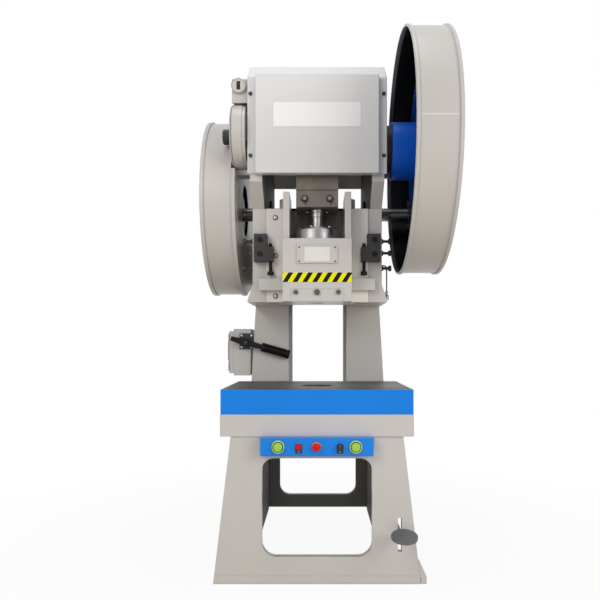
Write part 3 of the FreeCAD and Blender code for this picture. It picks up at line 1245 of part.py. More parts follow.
def make_countershaft(pinion_phase):
    teeth = round(number("pinion_teeth"))
    disc = toothed("pinion_disc", teeth, pinion_phase, number("gear_start - 4"), number("gear_face + 8"),
                   number("shaft_y"), number("shaft_z"))
    left = "flywheel_start + flywheel_width + 6"
    right = "gear_start + gear_face + countershaft_end"
    shaft = turned("counter_stem", "x", [
        (f"-({left})", "0"), (f"-({left})", "countershaft_dia / 2 - countershaft_chamfer"),
        (f"-({left}) + countershaft_chamfer", "countershaft_dia / 2"),
        (f"{right} - countershaft_chamfer", "countershaft_dia / 2"),
        (right, "countershaft_dia / 2 - countershaft_chamfer"), (right, "0"),
    ], ("shaft_y", "shaft_z"))
    keep(fuse("pinion_and_shaft", [disc, shaft]), "pinion_shaft")
    outer = "countershaft_flange_dia / 2"
    flange = turned("bearing_flange_right", "x", [
        ("head_inner - 10", "countershaft_dia / 2 + running_clearance"), ("head_inner - 10", "countershaft_spigot_dia / 2"),
        ("head_outer", "countershaft_spigot_dia / 2"), ("head_outer", outer), ("head_outer + countershaft_flange", outer),
        ("head_outer + countershaft_flange", "countershaft_dia / 2 + running_clearance"),
    ], ("shaft_y", "shaft_z"))
    keep(group("bearing_flanges", [flange, mirrored("bearing_flange_left", flange)]), "countershaft_bearings")


def make_flywheel():
    start, end = "flywheel_start", "flywheel_start + flywheel_width"
    outer = "flywheel_dia / 2"
    hub = "flywheel_hub_dia / 2"
    rim = f"{outer} - flywheel_rim"
    web_start = f"{start} + flywheel_width / 2 - flywheel_web / 2"
    web_end = f"{start} + flywheel_width / 2 + flywheel_web / 2"
    bore = "countershaft_dia / 2"
    profile = [(start, bore), (start, hub), (web_start, hub), (web_start, rim), (start, rim), (start, outer)]
    for middle in groove_middles():
        profile += [
            (f"{middle} - groove_width / 2", outer), (f"{middle} - groove_width / 2 + 4", f"{outer} - groove_depth"),
            (f"{middle} + groove_width / 2 - 4", f"{outer} - groove_depth"), (f"{middle} + groove_width / 2", outer),
        ]
    profile += [(end, outer), (end, rim), (web_end, rim), (web_end, hub), (end, hub), (end, bore)]
    flipped = [(f"-({along})", radius) for along, radius in reversed(profile)]
    keep(turned("flywheel_turned", "x", flipped, ("shaft_y", "shaft_z")), "flywheel")


def groove_middles():
    """Places of the belt grooves along the shaft, from the flywheel's middle."""
    middle = "(flywheel_start + flywheel_width / 2)"
    return [f"({middle} + {step} * groove_pitch)" for step in (-1.5, -0.5, 0.5, 1.5)]


def belt_loop(first, second, grow):
    """Closed wire round two circles in the Y-Z plane; each is (y, z, radius)."""
    (y1, z1, r1), (y2, z2, r2) = first, second
    r1, r2 = r1 + grow, r2 + grow
    along = math.atan2(z2 - z1, y2 - y1)
    lean = math.acos((r1 - r2) / math.hypot(y2 - y1, z2 - z1))

    def rim(y, z, radius, angle):
        return FreeCAD.Vector(0, y + radius * math.cos(angle), z + radius * math.sin(angle))

    up, down = along + lean, along - lean
    top = Part.LineSegment(rim(y1, z1, r1, up), rim(y2, z2, r2, up))
    small = Part.Arc(rim(y2, z2, r2, up), rim(y2, z2, r2, along), rim(y2, z2, r2, down))
    bottom = Part.LineSegment(rim(y2, z2, r2, down), rim(y1, z1, r1, down))
    large = Part.Arc(rim(y1, z1, r1, down), rim(y1, z1, r1, along + math.pi), rim(y1, z1, r1, up))
    return Part.Wire([piece.toShape() for piece in (top, small, bottom, large)])


def belt_circles():
    """Bottom circles of the belts round the flywheel and the motor pulley."""
    depth = number("groove_depth - belt_clearance")
    return ((number("shaft_y"), number("shaft_z"), number("flywheel_dia / 2") - depth),
            (number("motor_y"), number("motor_height"), number("motor_pulley_dia / 2") - depth))


def make_belts():
    large, small = belt_circles()
    width = number("groove_width") - 10
    thick = number("groove_depth") - 4
    belts = []
    for step, middle in enumerate(groove_middles(), start=1):
        outer = Part.Face(belt_loop(large, small, thick))
        inner = Part.Face(belt_loop(large, small, 0))
        band = outer.cut(inner).extrude(FreeCAD.Vector(width, 0, 0))
        belt = doc.addObject("Part::Feature", f"belt_{step}")
        belt.Shape = band
        belt.Placement = FreeCAD.Placement(FreeCAD.Vector(-number(middle) - width / 2, 0, 0), FreeCAD.Rotation())
        belts.append(belt)
    keep(group("belts", belts), "drive_belts")


def make_motor():
    start = "motor_start"
    outer = "motor_dia / 2"
    end = "motor_start - motor_length"
    barrel = turned("motor_barrel", "x", [
        (f"-{start}", "0"), (f"-{start}", f"{outer} - 20"), (f"-{start} + 22", outer),
        (f"-({end}) - 70", outer), (f"-({end}) - 70", f"{outer} - 6"), (f"-({end}) - 8", f"{outer} - 6"),
        (f"-({end})", f"{outer} - 16"), (f"-({end})", "0"),
    ], ("motor_y", "motor_height"))
    foot_x = ("-motor_shelf_left + 10", "motor_shelf_right - 30")
    foot = box("motor_foot_block", foot_x, ("motor_y - motor_dia * 0.42", "motor_y + motor_dia * 0.42"),
               (f"motor_height - {outer} - motor_foot", f"motor_height - {outer} + 26"))
    terminals = box("terminal_box", (f"-{start} + 90", f"-{start} + 200"), ("motor_y - 50", "motor_y + 50"),
                    ("motor_height + 90", f"motor_height + {outer} + 44"))
    keep(fuse("motor_body", [barrel, foot, terminals]), "motor")
    profile = [("-flywheel_start - flywheel_width / 2 - groove_pitch * 2", "0")]
    rim = "motor_pulley_dia / 2"
    first, last = "-flywheel_start - flywheel_width / 2 - groove_pitch * 2", \
        "-flywheel_start - flywheel_width / 2 + groove_pitch * 2"
    profile.append((first, rim))
    for middle in reversed(groove_middles()):
        profile += [
            (f"-{middle} - groove_width / 2", rim), (f"-{middle} - groove_width / 2 + 4", f"{rim} - groove_depth"),
            (f"-{middle} + groove_width / 2 - 4", f"{rim} - groove_depth"), (f"-{middle} + groove_width / 2", rim),
        ]
    shaft = "motor_shaft_dia / 2"
    profile += [(last, rim), (last, shaft), (f"-{start} - 1", shaft), (f"-{start} - 1", "0")]
    keep(turned("pulley_turned", "x", profile, ("motor_y", "motor_height")), "motor_pulley")


# ---------------------------------------------------------------- guards

def drum_profile(start, width, dia):
    """Sheet drum seen from its open side, with a bead at each edge."""
    outer = f"{dia} / 2"
    end = f"{start} + {width}"
    bead = "guard_bead"
    return [
        (start, f"{outer} - guard_sheet"), (start, f"{outer} + {bead} - 3"),
        (f"{start} + 3", f"{outer} + {bead}"), (f"{start} + guard_bead_width - 3", f"{outer} + {bead}"),
        (f"{start} + guard_bead_width", outer), (f"{end} - guard_bead_width", outer),
        (f"{end} - guard_bead_width + 3", f"{outer} + {bead}"), (f"{end} - 3", f"{outer} + {bead}"),
        (end, f"{outer} + {bead} - 3"), (end, "0"), (f"{end} - guard_sheet", "0"),
        (f"{end} - guard_sheet", f"{outer} - guard_sheet"),
    ]


def make_gear_guard():
    centre = ("slide_y", "crank_z - gear_guard_drop")
    profile = drum_profile("gear_guard_start", "gear_guard_width", "gear_guard_dia")
    keep(turned("gear_guard_drum", "x", profile, centre), "gear_guard")


def make_flywheel_guard():
    start, end = number("flywheel_guard_start"), number("flywheel_guard_start + flywheel_guard_width")
    sheet_gauge = number("guard_sheet")
    y, z = number("shaft_y"), number("shaft_z + flywheel_guard_rise")
    radius = number("flywheel_guard_dia / 2")
    tunnel = number("tunnel_radius")
    pulley = (number("motor_y"), number("motor_height"), tunnel)

    axis = FreeCAD.Vector(1, 0, 0)

    def chamber(x_from, x_to, inset):
        hull = Part.Face(belt_loop((y, z, radius - inset), (pulley[0], pulley[1], tunnel - inset), 0))
        return hull.extrude(axis * (x_to - x_from)).translated(axis * x_from)

    shell = chamber(-end, -start, 0)
    bead_width, bead = number("guard_bead_width"), number("guard_bead")
    for x_from in (-end, -start - bead_width):
        shell = shell.fuse(Part.makeCylinder(radius + bead, bead_width, FreeCAD.Vector(x_from, y, z), axis))
    shell = shell.cut(chamber(-end + sheet_gauge, -start - sheet_gauge, sheet_gauge))
    through = 10 * sheet_gauge
    behind = -start - through / 2
    hole = Part.makeCylinder(number("guard_hole_dia / 2"), through, FreeCAD.Vector(behind, y, z), axis)
    motor_hole = Part.makeCylinder(number("motor_shaft_dia / 2") + 12, through,
                                   FreeCAD.Vector(behind, pulley[0], pulley[1]), axis)
    notch_depth = number("guard_notch_depth")
    notch = Part.makeCylinder(number("brake_drum_dia / 2 + guard_notch_play"), notch_depth + 1,
                              FreeCAD.Vector(-start - notch_depth, number("slide_y"), number("drum_z")), axis)
    shell = shell.cut(hole).cut(motor_hole).cut(notch).removeSplitter()
    guard = doc.addObject("Part::Feature", "flywheel_guard_shell")
    guard.Shape = shell
    keep(guard, "flywheel_guard")


GEAR_GUARD_ARMS = (28, 17, 6)
FLYWHEEL_GUARD_ARMS = (130, 60, -60)


def make_guard_brackets():
    """Flat arms from the frame sides to the two guards."""
    arms = []
    inner = "gear_guard_dia / 2 - guard_sheet"
    half = "guard_arm_width / 2"
    reach = f"sqrt(({inner}) * ({inner}) - ({half}) * ({half})) - 0.03"
    for step, angle in enumerate(GEAR_GUARD_ARMS, start=1):
        arm = doc.addObject("Part::Box", f"gear_guard_arm_{step}")
        bind(arm, Length="gear_guard_start + guard_arm_overlap - head_outer", Width="guard_arm_width",
             Height="guard_arm_thickness")
        turn = FreeCAD.Rotation(FreeCAD.Vector(1, 0, 0), angle - 90)
        arm.Placement = FreeCAD.Placement(FreeCAD.Vector(), turn)
        # The arm lies flat against the inside of the drum, in the direction of its angle.
        out, side = math.radians(angle), math.radians(angle - 90)
        low = f"({reach} - guard_arm_thickness)"
        y = f"slide_y + {math.cos(out):.6f} * {low} - {math.cos(side):.6f} * {half}"
        z = f"crank_z - gear_guard_drop + {math.sin(out):.6f} * {low} - {math.sin(side):.6f} * {half}"
        place(arm, "head_outer", y, z)
        arms.append(arm)
    for step, angle in enumerate(FLYWHEEL_GUARD_ARMS, start=1):
        behind = f"{math.cos(math.radians(angle)):.6f} * guard_arm_circle / 2"
        above = f"{math.sin(math.radians(angle)):.6f} * guard_arm_circle / 2"
        y = (f"shaft_y + {behind} - {half}", f"shaft_y + {behind} + {half}")
        low = f"shaft_z + flywheel_guard_rise + {above}"
        z = (low, f"{low} + guard_arm_thickness")
        arms.append(box(f"flywheel_guard_arm_{step}", ("-flywheel_guard_start", "-head_outer"), y, z))
    keep(group("guard_arms", arms), "guard_brackets")


# ---------------------------------------------------------------- brake

def make_brake():
    start, end = "brake_drum_start", "brake_drum_start + brake_drum_width"
    outer = "brake_drum_dia / 2"
    drum = turned("drum_turned", "x", [
        (f"-({end})", "0"), (f"-({end})", f"{outer} - 4"), (f"-({end}) + 4", outer),
        (f"-({end}) + 12", outer), (f"-({end}) + 12", f"{outer} - brake_band"),
        (f"-({end}) + 12 + brake_band_width", f"{outer} - brake_band"), (f"-({end}) + 12 + brake_band_width", outer),
        (f"-{start}", outer), (f"-{start}", "0"),
    ], ("slide_y", "drum_z"))
    bore = rod("drum_bore", "x", ("slide_y", "crank_z"), (f"-({end}) - 1", f"-{start} + 1"), "journal_dia / 2 - 8")
    keep(cut("drum", drum, [bore]), "brake_drum")
    cap = turned("cap_turned", "x", [
        (f"-({end}) - end_cap_width", "0"), (f"-({end}) - end_cap_width", "end_cap_dia / 2 - 8"),
        (f"-({end}) - end_cap_width + 8", "end_cap_dia / 2"), (f"-({end})", "end_cap_dia / 2"), (f"-({end})", "0"),
    ], ("slide_y", "drum_z"))
    keep(cap, "shaft_end_cap")
    x = (f"-({end}) + 12", f"-({end}) + 12 + brake_band_width")
    ring = rod("band_outer", "x", ("slide_y", "drum_z"), x, f"{outer} + brake_band - 1")
    hollow = rod("band_inner", "x", ("slide_y", "drum_z"), (f"{x[0]} - 1", f"{x[1]} + 1"), f"{outer} - brake_band")
    gap = box("band_gap", (f"{x[0]} - 1", f"{x[1]} + 1"), ("slide_y - 22", "slide_y + 22"),
              ("drum_z", f"drum_z + {outer} + 40"))
    ears = []
    for tag, y in (("front", "slide_y - 30"), ("rear", "slide_y + 22")):
        ears.append(box(f"band_ear_{tag}", x, (y, f"{y} + 8"), (f"drum_z + {outer} - 6", f"drum_z + {outer} + brake_band")))
    ring_cut = cut("band_ring", ring, [hollow, gap])
    keep(cut("band", fuse("band_join", [ring_cut] + ears), [rod("band_clear", "x", ("slide_y", "drum_z"),
         (f"{x[0]} - 2", f"{x[1]} + 2"), f"{outer} - brake_band")]), "brake_band")
    low, high = "brake_bracket_bottom", "brake_bracket_bottom + brake_bracket_height"
    base = box("bracket_box", ("-brake_bracket_outer", "-head_outer"), ("slide_y - brake_bracket_front", "slide_y + 60"),
               (low, high))
    cup_x = "-brake_cup_place"
    cup_z = f"{high} - brake_cup_height"
    face = "slide_y - brake_bracket_front - brake_cup_length"
    cup = rod("bracket_cup", "y", (cup_x, cup_z), (face, "slide_y"), "brake_cup_dia / 2")
    slot = box("bracket_slot", (f"{cup_x} - brake_slot_width / 2", f"{cup_x} + brake_slot_width / 2"),
               (f"{face} - 1", f"{face} + brake_cup_length"),
               (f"{cup_z} - brake_slot_height / 2", f"{cup_z} + brake_slot_height / 2"))
    saddle = rod("bracket_saddle", "x", ("slide_y", "drum_z"), ("-brake_bracket_outer - 1", "-head_outer"),
                 f"{outer} + brake_band + brake_saddle_play")
    keep(cut("bracket", fuse("bracket_solid", [base, cup]), [slot, saddle]), "brake_bracket")


# ---------------------------------------------------------------- covers of the head

COVER_SCREW_HEIGHTS = ("cover_bottom + cover_screw_rise", "cover_top - cover_screw_fall")


def make_covers():
    flange_y = ("nose_y - cover_sheet", "nose_y")
    flange = box("cover_flange", both("cover_flange_width"), flange_y, ("cover_bottom + 6", "head_shoulder"))
    field = box("cover_field", both("cover_width"), ("nose_y - cover_depth", "nose_y"), ("cover_bottom", "cover_top"))
    hollow = box("cover_hollow", both("cover_width - 2 * cover_sheet"),
                 ("nose_y - cover_depth + cover_sheet", "nose_y + 1"),
                 ("cover_bottom + cover_sheet", "cover_top - cover_sheet"))
    keep(cut("front_cover", fuse("front_join", [flange, field]), [hollow]), "head_front_cover")
    screws = []
    for tag, x in (("left", "-cover_screw_spacing / 2"), ("right", "cover_screw_spacing / 2")):
        for step, height in enumerate(COVER_SCREW_HEIGHTS, start=1):
            screws.append(rod(f"cover_screw_{tag}_{step}", "y", (x, height),
                              ("nose_y - cover_sheet - cover_screw_head", "nose_y - cover_sheet"), "cover_screw_dia / 2"))
    keep(group("cover_screw_set", screws), "cover_screws")
    rear_top = "nose_y + head_depth + head_rear_chamfer"
    body = new_body("top_sheet_body")
    sheet_edge = [
        ("nose_y - cover_sheet", "head_shoulder"), ("nose_y + head_slope - 2", "head_top + top_sheet"),
        ("nose_y + head_depth + 2", "head_top + top_sheet"),
        (f"{rear_top} + top_sheet", "head_top - head_rear_chamfer"),
        (rear_top, "head_top - head_rear_chamfer"), ("nose_y + head_depth", "head_top"),
        ("nose_y + head_slope", "head_top"), ("nose_y", "head_shoulder"),
    ]
    pad(body, "YZ_Plane", both("cover_flange_width"), [sheet_edge])
    keep(body, "head_top_cover")


# ---------------------------------------------------------------- cabinet, lamp, panel, pedal

def make_cabinet():
    x = ("-cabinet_outer", "-cabinet_inner")
    y = ("throat_y + cabinet_setback", "throat_y + cabinet_setback + cabinet_depth")
    z = ("cabinet_bottom", "cabinet_bottom + cabinet_height")
    case = box("case_block", x, y, z)
    hollow = box("case_hollow", (f"{x[0]} - 1", f"{x[1]} - 3"), (f"{y[0]} + 3", f"{y[1]} - 3"),
                 (f"{z[0]} + 3", f"{z[1]} - 3"))
    foot = box("case_foot", (f"{x[1]} - 1", "-column_top_width / 2 - 4"), (f"{y[0]} + 30", f"{y[1]} - 30"),
               (f"{z[0]} + 20", f"{z[1]} - 20"))
    keep(fuse("cabinet_join", [cut("case", case, [hollow]), cut("case_seat", foot, [column_copy()])]),
         "electrical_cabinet")
    door_x = ("-cabinet_outer - cabinet_door", "-cabinet_outer - door_gap")
    slab = box("door_slab", door_x, (f"{y[0]} + 1", f"{y[1]} - 1"), (f"{z[0]} + 12", f"{z[1]} - 12"))
    hollow = box("door_hollow", (f"{door_x[0]} + 2", f"{door_x[1]} + 1"), (f"{y[0]} + 4", f"{y[1]} - 4"),
                 (f"{z[0]} + 15", f"{z[1]} - 15"))
    handle = box("door_handle", (f"{door_x[0]} - 5", f"{door_x[0]}"), (f"{y[0]} + 8", f"{y[0]} + 34"),
                 (f"{z[0]} + 70", f"{z[1]} - 70"))
    hinge = rod("door_hinge", "z", ("-cabinet_outer - cabinet_door", f"{y[1]} + 5"), (f"{z[0]} + 30", f"{z[1]} - 30"), "6")
    link = box("door_link", (f"{door_x[0]} - 2", f"{door_x[0]} + 3"), (f"{y[1]} - 6", f"{y[1]} + 4"),
               (f"{z[0]} + 30", f"{z[1]} - 30"))
    keep(fuse("door", [cut("door_pan", slab, [hollow]), handle, hinge, link]), "cabinet_door")


def column_copy():
    """Space taken by the left column's flared side, for what seats on it."""
    space = new_body("column_space")
    top = "column_top"
    flare = [("-column_foot_width / 2", "table_top"), ("-column_top_width / 2", "jaw_z"), ("-head_outer", top),
             ("-column_gap / 2", top), ("-column_gap / 2", "table_top")]
    pad(space, "XZ_Plane", ("throat_y - 1", "column_rear"), [flare])
    return space


def make_lamp():
    y_back = "throat_y + cabinet_setback"
    x = ("-lamp_bracket_outer", "-lamp_bracket_inner")
    z = ("lamp_bracket_bottom", "lamp_bracket_bottom + lamp_bracket_height")
    plate = box("lamp_plate", x, (f"{y_back} - lamp_plate", y_back), z)
    pivot = (f"-lamp_pivot", "lamp_pivot_height")
    arm_y = "throat_y - lamp_forward"
    boss = rod("lamp_boss", "y", pivot, (f"{arm_y} - lamp_arm_thickness / 2 - 4", f"{y_back} - lamp_plate"), "11")
    keep(fuse("lamp_bracket_join", [plate, boss]), "lamp_bracket")
    lean = number("lamp_lean")
    turn = FreeCAD.Rotation(FreeCAD.Vector(0, 1, 0), lean)
    arm = new_body("lamp_arm_body")
    left, right = "-lamp_tail", "lamp_arm_length"
    shape = [(left, "-12"), (left, "12"), ("0", "19"), (right, "13"), (right, "-13"), ("0", "-19")]
    pad(arm, "XZ_Plane", ("-lamp_arm_thickness / 2", "lamp_arm_thickness / 2"), [shape],
        [("0", "0", "11 + running_clearance")])
    arm.Placement = FreeCAD.Placement(FreeCAD.Vector(), turn)
    place(arm, pivot[0], arm_y, pivot[1])
    keep(arm, "lamp_arm")
    head = turned("lamp_head_turned", "x", [
        ("lamp_arm_length + 0.3", "0"), ("lamp_arm_length + 0.3", "14"), ("lamp_arm_length + 10", "lamp_head_dia / 2 - 3"),
        ("lamp_arm_length + 14", "lamp_head_dia / 2"), ("lamp_arm_length + lamp_head_length - 8", "lamp_head_dia / 2"),
        ("lamp_arm_length + lamp_head_length", "lamp_head_dia / 2 - 5"), ("lamp_arm_length + lamp_head_length", "0"),
    ])
    head.Placement = FreeCAD.Placement(FreeCAD.Vector(), turn)
    place(head, pivot[0], arm_y, pivot[1])
    keep(head, "lamp_head")


BUTTONS = (
    # node, place across, radius, length, travel
    ("palm_button_left", "-palm_spacing / 2", "palm_dia / 2", "palm_reach"),
    ("palm_button_right", "palm_spacing / 2", "palm_dia / 2", "palm_reach"),
    ("emergency_stop", "stop_button_place", "stop_button_dia / 2", "stop_button_reach"),
    ("start_button", "start_button_place", "start_button_dia / 2", "start_button_reach"),
)


def make_panel():
    front = "front_y - panel_reach"
    z = ("base_height - panel_height", "base_height")
    case = new_body("panel_case")
    edge = [(front, z[0]), ("base_front", z[0]), ("base_front", z[1]), (front, z[1])]
    pad(case, "YZ_Plane", both("panel_width"), [edge])
    rounded(case, "x", [(front, z[0])], "panel_radius")
    height = "panel_button_height"
    bores = []
    for node, x, radius, reach in BUTTONS:
        bores.append(rod(node + "_bore", "y", (x, height), (f"{front} - 1", f"{front} + 34"),
                         f"{radius} * 0.5 + running_clearance"))
    bores.append(rod("selector_bore", "y", ("selector_place", height), (f"{front} - 1", f"{front} + 34"),
                     "9 + running_clearance"))
    keep(cut("panel", case, bores), "control_panel")
    for node, x, radius, reach in BUTTONS:
        cap = turned(node + "_turned", "y", [
            (f"-({reach})", "0"), (f"-({reach})", f"{radius} * 0.86"), (f"-({reach}) + 4", radius),
            ("-button_gap - 2", radius), ("-button_gap", f"{radius} - 2"), ("-button_gap", f"{radius} * 0.5"),
            ("24", f"{radius} * 0.5"), ("24", "0"),
        ], (x, height))
        place(cap, x, front, height)
        keep(cap, node)
    stem = rod("selector_stem", "y", ("selector_place", height), (f"{front} - selector_reach", f"{front} + 24"), "9")
    dial = rod("selector_dial", "y", ("selector_place", height), (f"{front} - selector_reach + 12", f"{front} - 0.5"),
               "selector_dia / 2")
    grip = box("selector_grip", ("selector_place - 5", "selector_place + 5"),
               (f"{front} - selector_reach - 8", f"{front} - selector_reach + 13"),
               (f"{height} - selector_dia / 2 - 2", f"{height} + selector_dia / 2"))
    keep(fuse("selector", [stem, dial, grip]), "selector_switch")


def make_pedal():
    pivot = ("base_front + pedal_pivot_setback", "pedal_pivot_height")
    wall = "base_inner_width / 2 + base_plate"
    boss = rod("pedal_boss", "x", pivot, (wall, f"{wall} + 8"), "34")
    pin = rod("pedal_pin", "x", pivot, (wall, f"{wall} + 34"), "pedal_pin_dia / 2")
    washer = rod("pedal_washer", "x", pivot, (f"{wall} + 28", f"{wall} + 34"), "22")
    keep(fuse("pedal_bracket_join", [boss, pin, washer]), "pedal_bracket")
    body = new_body("pedal_lever")
    x = ("pedal_place - pedal_bar / 2", "pedal_place + pedal_bar / 2")
    tip_y = "base_front - pedal_reach"
    lever = [(f"{pivot[0]} + 20", f"{pivot[1]} - 14"), (f"{pivot[0]} + 20", f"{pivot[1]} + 14"),
             ("base_front - 20", f"{pivot[1]} + 14"), (tip_y, "pedal_height - 6"),
             (tip_y, "pedal_height - 22"), ("base_front - 20", f"{pivot[1]} - 14")]
    pad(body, "YZ_Plane", x, [lever])
    hub = rod("pedal_hub", "x", pivot, (f"{wall} + 9", f"{wall} + 27"), "26")
    bore = rod("pedal_bore", "x", pivot, (f"{wall} + 8", f"{wall} + 28"), "pedal_pin_dia / 2 + running_clearance")
    disc = doc.addObject("Part::Cylinder", "pedal_disc")
    bind(disc, Radius="pedal_dia / 2", Height="pedal_disc")
    disc.Placement = FreeCAD.Placement(FreeCAD.Vector(), FreeCAD.Rotation(FreeCAD.Vector(1, 0, 0), number("pedal_lean")))
    place(disc, "pedal_place", tip_y, "pedal_height - pedal_disc")
    keep(cut("pedal", fuse("pedal_join", [body, hub, disc]), [bore]), "foot_pedal")


def cut_pedal_slot():
    """Slot for the pedal lever in the base's front plate."""
    body = doc.getObject("base_front_plate")
    u = ("pedal_place - pedal_slot_width / 2", "pedal_place + pedal_slot_width / 2")
    v = ("pedal_slot_bottom", "pedal_slot_bottom + pedal_slot_height")
    pocket(body, "XZ_Plane", ("base_front", "base_front + base_plate"), [rectangle(u, v)])


# ---------------------------------------------------------------- check and write

def check_and_write():
    doc.recompute()
    for thing in doc.Objects:
        if "Invalid" in thing.State or "Error" in thing.State:
            raise ValueError(f"{thing.Name} failed: {thing.State}")
    os.makedirs("parts", exist_ok=True)
    for node, thing in NODES.items():
        shape = thing.Shape
        if shape.isNull() or not shape.isValid() or not shape.Solids:
            raise ValueError(f"{node} has no valid solid")
        shape.exportStep(f"parts/{node}.step")
        print(f"{node}: {len(shape.Solids)} solid(s), {shape.Volume / 1e6:.2f} litres")
    print(len(NODES), "sub-parts")


make_base()
make_table()
make_frame()
make_slide()
make_shank_clamp()
make_gibs()
make_stops()
make_cover_plate()
make_rod()
make_screw()
make_crank()
make_countershaft(make_bull_gear())
make_flywheel()
make_belts()
make_motor()
make_gear_guard()
make_flywheel_guard()
make_guard_brackets()
make_brake()
make_covers()
make_cabinet()
make_lamp()
make_panel()
make_pedal()
cut_pedal_slot()
check_and_write()
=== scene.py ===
import math

import bmesh
import bpy
import numpy as np
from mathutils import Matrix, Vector


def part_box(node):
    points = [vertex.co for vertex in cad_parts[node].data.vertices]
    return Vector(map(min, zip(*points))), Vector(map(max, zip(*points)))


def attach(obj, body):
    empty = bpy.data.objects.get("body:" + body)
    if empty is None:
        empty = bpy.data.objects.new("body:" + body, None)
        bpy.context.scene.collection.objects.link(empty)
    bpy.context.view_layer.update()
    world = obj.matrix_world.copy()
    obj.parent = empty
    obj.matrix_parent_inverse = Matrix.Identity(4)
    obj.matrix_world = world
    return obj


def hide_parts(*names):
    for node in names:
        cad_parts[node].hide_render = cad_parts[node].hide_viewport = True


bl_info = {
    "name": "Stamping Press Finish",
    "version": (1, 0, 0),
    "blender": (4, 5, 0),
    "location": "View3D > Sidebar > Press",
    "description": "Dresses the CAD frame of a C-frame stamping press with finishes, trim and a studio",
    "category": "Object",
}

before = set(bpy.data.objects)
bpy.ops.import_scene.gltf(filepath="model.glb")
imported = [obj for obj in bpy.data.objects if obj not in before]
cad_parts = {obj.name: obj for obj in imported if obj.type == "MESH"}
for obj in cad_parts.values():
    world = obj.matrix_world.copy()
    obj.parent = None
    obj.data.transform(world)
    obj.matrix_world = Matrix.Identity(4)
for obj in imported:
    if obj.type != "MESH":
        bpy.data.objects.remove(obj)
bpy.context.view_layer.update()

LEFT, RIGHT, FRONT, UP = (-1, 0, 0), (1, 0, 0), (0, -1, 0), (0, 0, 1)
SIDES = ((-1, "left"), (1, "right"))


def box(node):
    """Low and high corner of a CAD node's box, as arrays."""
    low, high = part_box(node)
    return np.array(low), np.array(high)


# Places on the press in metres, from the frame where it has them.
SLIDE_FRONT, COVER_FRONT, PANEL_FRONT, ROD_BOLT_FRONT, BRACKET_FRONT, GIB_FRONT = (
    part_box(node)[0][1] for node in ("slide", "head_front_cover", "control_panel", "rod_bolts",
                                    "stop_brackets", "front_gibs"))
PLATE_LOW, PLATE_HIGH = box("slide_cover_plate")
_, CAP_FRONT, CAP_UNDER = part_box("rod_clamp_cap")[0]
CRANK_Y = -0.390
ROD_BOLT_X, ROD_BOLT_Z = 0.060, 1.7675
STOP_BOLT_X, STOP_BOLT_ROWS = 0.2805, (1.5825, 1.5110)
GIB_BOLT_X, GIB_BOLT_ROWS = -0.2065, (1.308, 1.508, 1.696)
LAMP_PIVOT = (-0.391, -0.042, 1.080)
LAMP_PLATE_FRONT = 0.004
BRAKE_CUP = (-0.375, 2.302)
COLUMN_INNER, COLUMN_SPAN = 0.158, (-0.010, 0.490)
MOTOR_Y, MOTOR_Z, MOTOR_RADIUS = 0.632, 1.589, 0.128
# Gap under a push button's cap, how deep its stem goes and the stem's share of the button's radius.
BUTTON_GAP, STEM_DEPTH, STEM_SHARE = 0.0075, 0.022, 0.49
# Round guards and the wheel: middle in Y and Z, and the radius at which their finish changes to a painted
# shade.
GEAR_GUARD = ((-0.390, 1.998), 0.5725)
FLYWHEEL_GUARD = ((0.0458, 1.812), 0.4600)
FLYWHEEL = ((0.0458, 1.792), 0.395)
# Width of the camera's sensor in millimetres, and its shift as a share of that.
SENSOR, SHIFT_X, SHIFT_Y = 36, -0.0328, 0.074
# Each light's place, the point that it faces, and its size.
LIGHTS = {
    "key": ((-2.4, -4.4, 3.2), (0, -0.2, 1.3), 2.2),
    "fill": ((3.2, -3.8, 2.4), (0, -0.2, 1.2), 2.4),
    "low": ((0.0, -4.3, 0.55), (0, 0.3, 1.92), 1.2),
    "top": ((0.0, -0.9, 5.0), (0, -0.3, 1.4), 1.6),
}
WHITE = (1, 1, 1, 1)
# Floor colour that the press sees, and the radii between which its white grows to full.
FLOOR_TINT, FLOOR_NEAR, FLOOR_FAR = (0.74, 0.665, 0.58, 1), 0.9, 2.4


# ---------------------------------------------------------------- settings

class FinishSettings(bpy.types.PropertyGroup):
    paint: bpy.props.FloatVectorProperty(
        name="Enamel", description="Warm light grey enamel of the frame", subtype="COLOR", size=3,
        default=(0.57, 0.545, 0.52), min=0, max=1)
    table_blue: bpy.props.FloatVectorProperty(
        name="Table blue", description="Blue enamel of bolster and panel", subtype="COLOR", size=3,
        default=(0.003, 0.215, 0.76), min=0, max=1)
    wheel_blue: bpy.props.FloatVectorProperty(
        name="Wheel blue", description="Blue enamel of the gear", subtype="COLOR", size=3,
        default=(0.004, 0.085, 0.47), min=0, max=1)
    green: bpy.props.FloatVectorProperty(
        name="Palm button", description="Lime green of the palm buttons", subtype="COLOR", size=3,
        default=(0.33, 0.62, 0.09), min=0, max=1)
    red: bpy.props.FloatVectorProperty(
        name="Red", description="Red of the stop and start buttons", subtype="COLOR", size=3,
        default=(0.72, 0.006, 0.008), min=0, max=1)
    hazard: bpy.props.FloatVectorProperty(
        name="Hazard yellow", description="Yellow of the striped band", subtype="COLOR", size=3,
        default=(0.86, 0.82, 0.0), min=0, max=1)


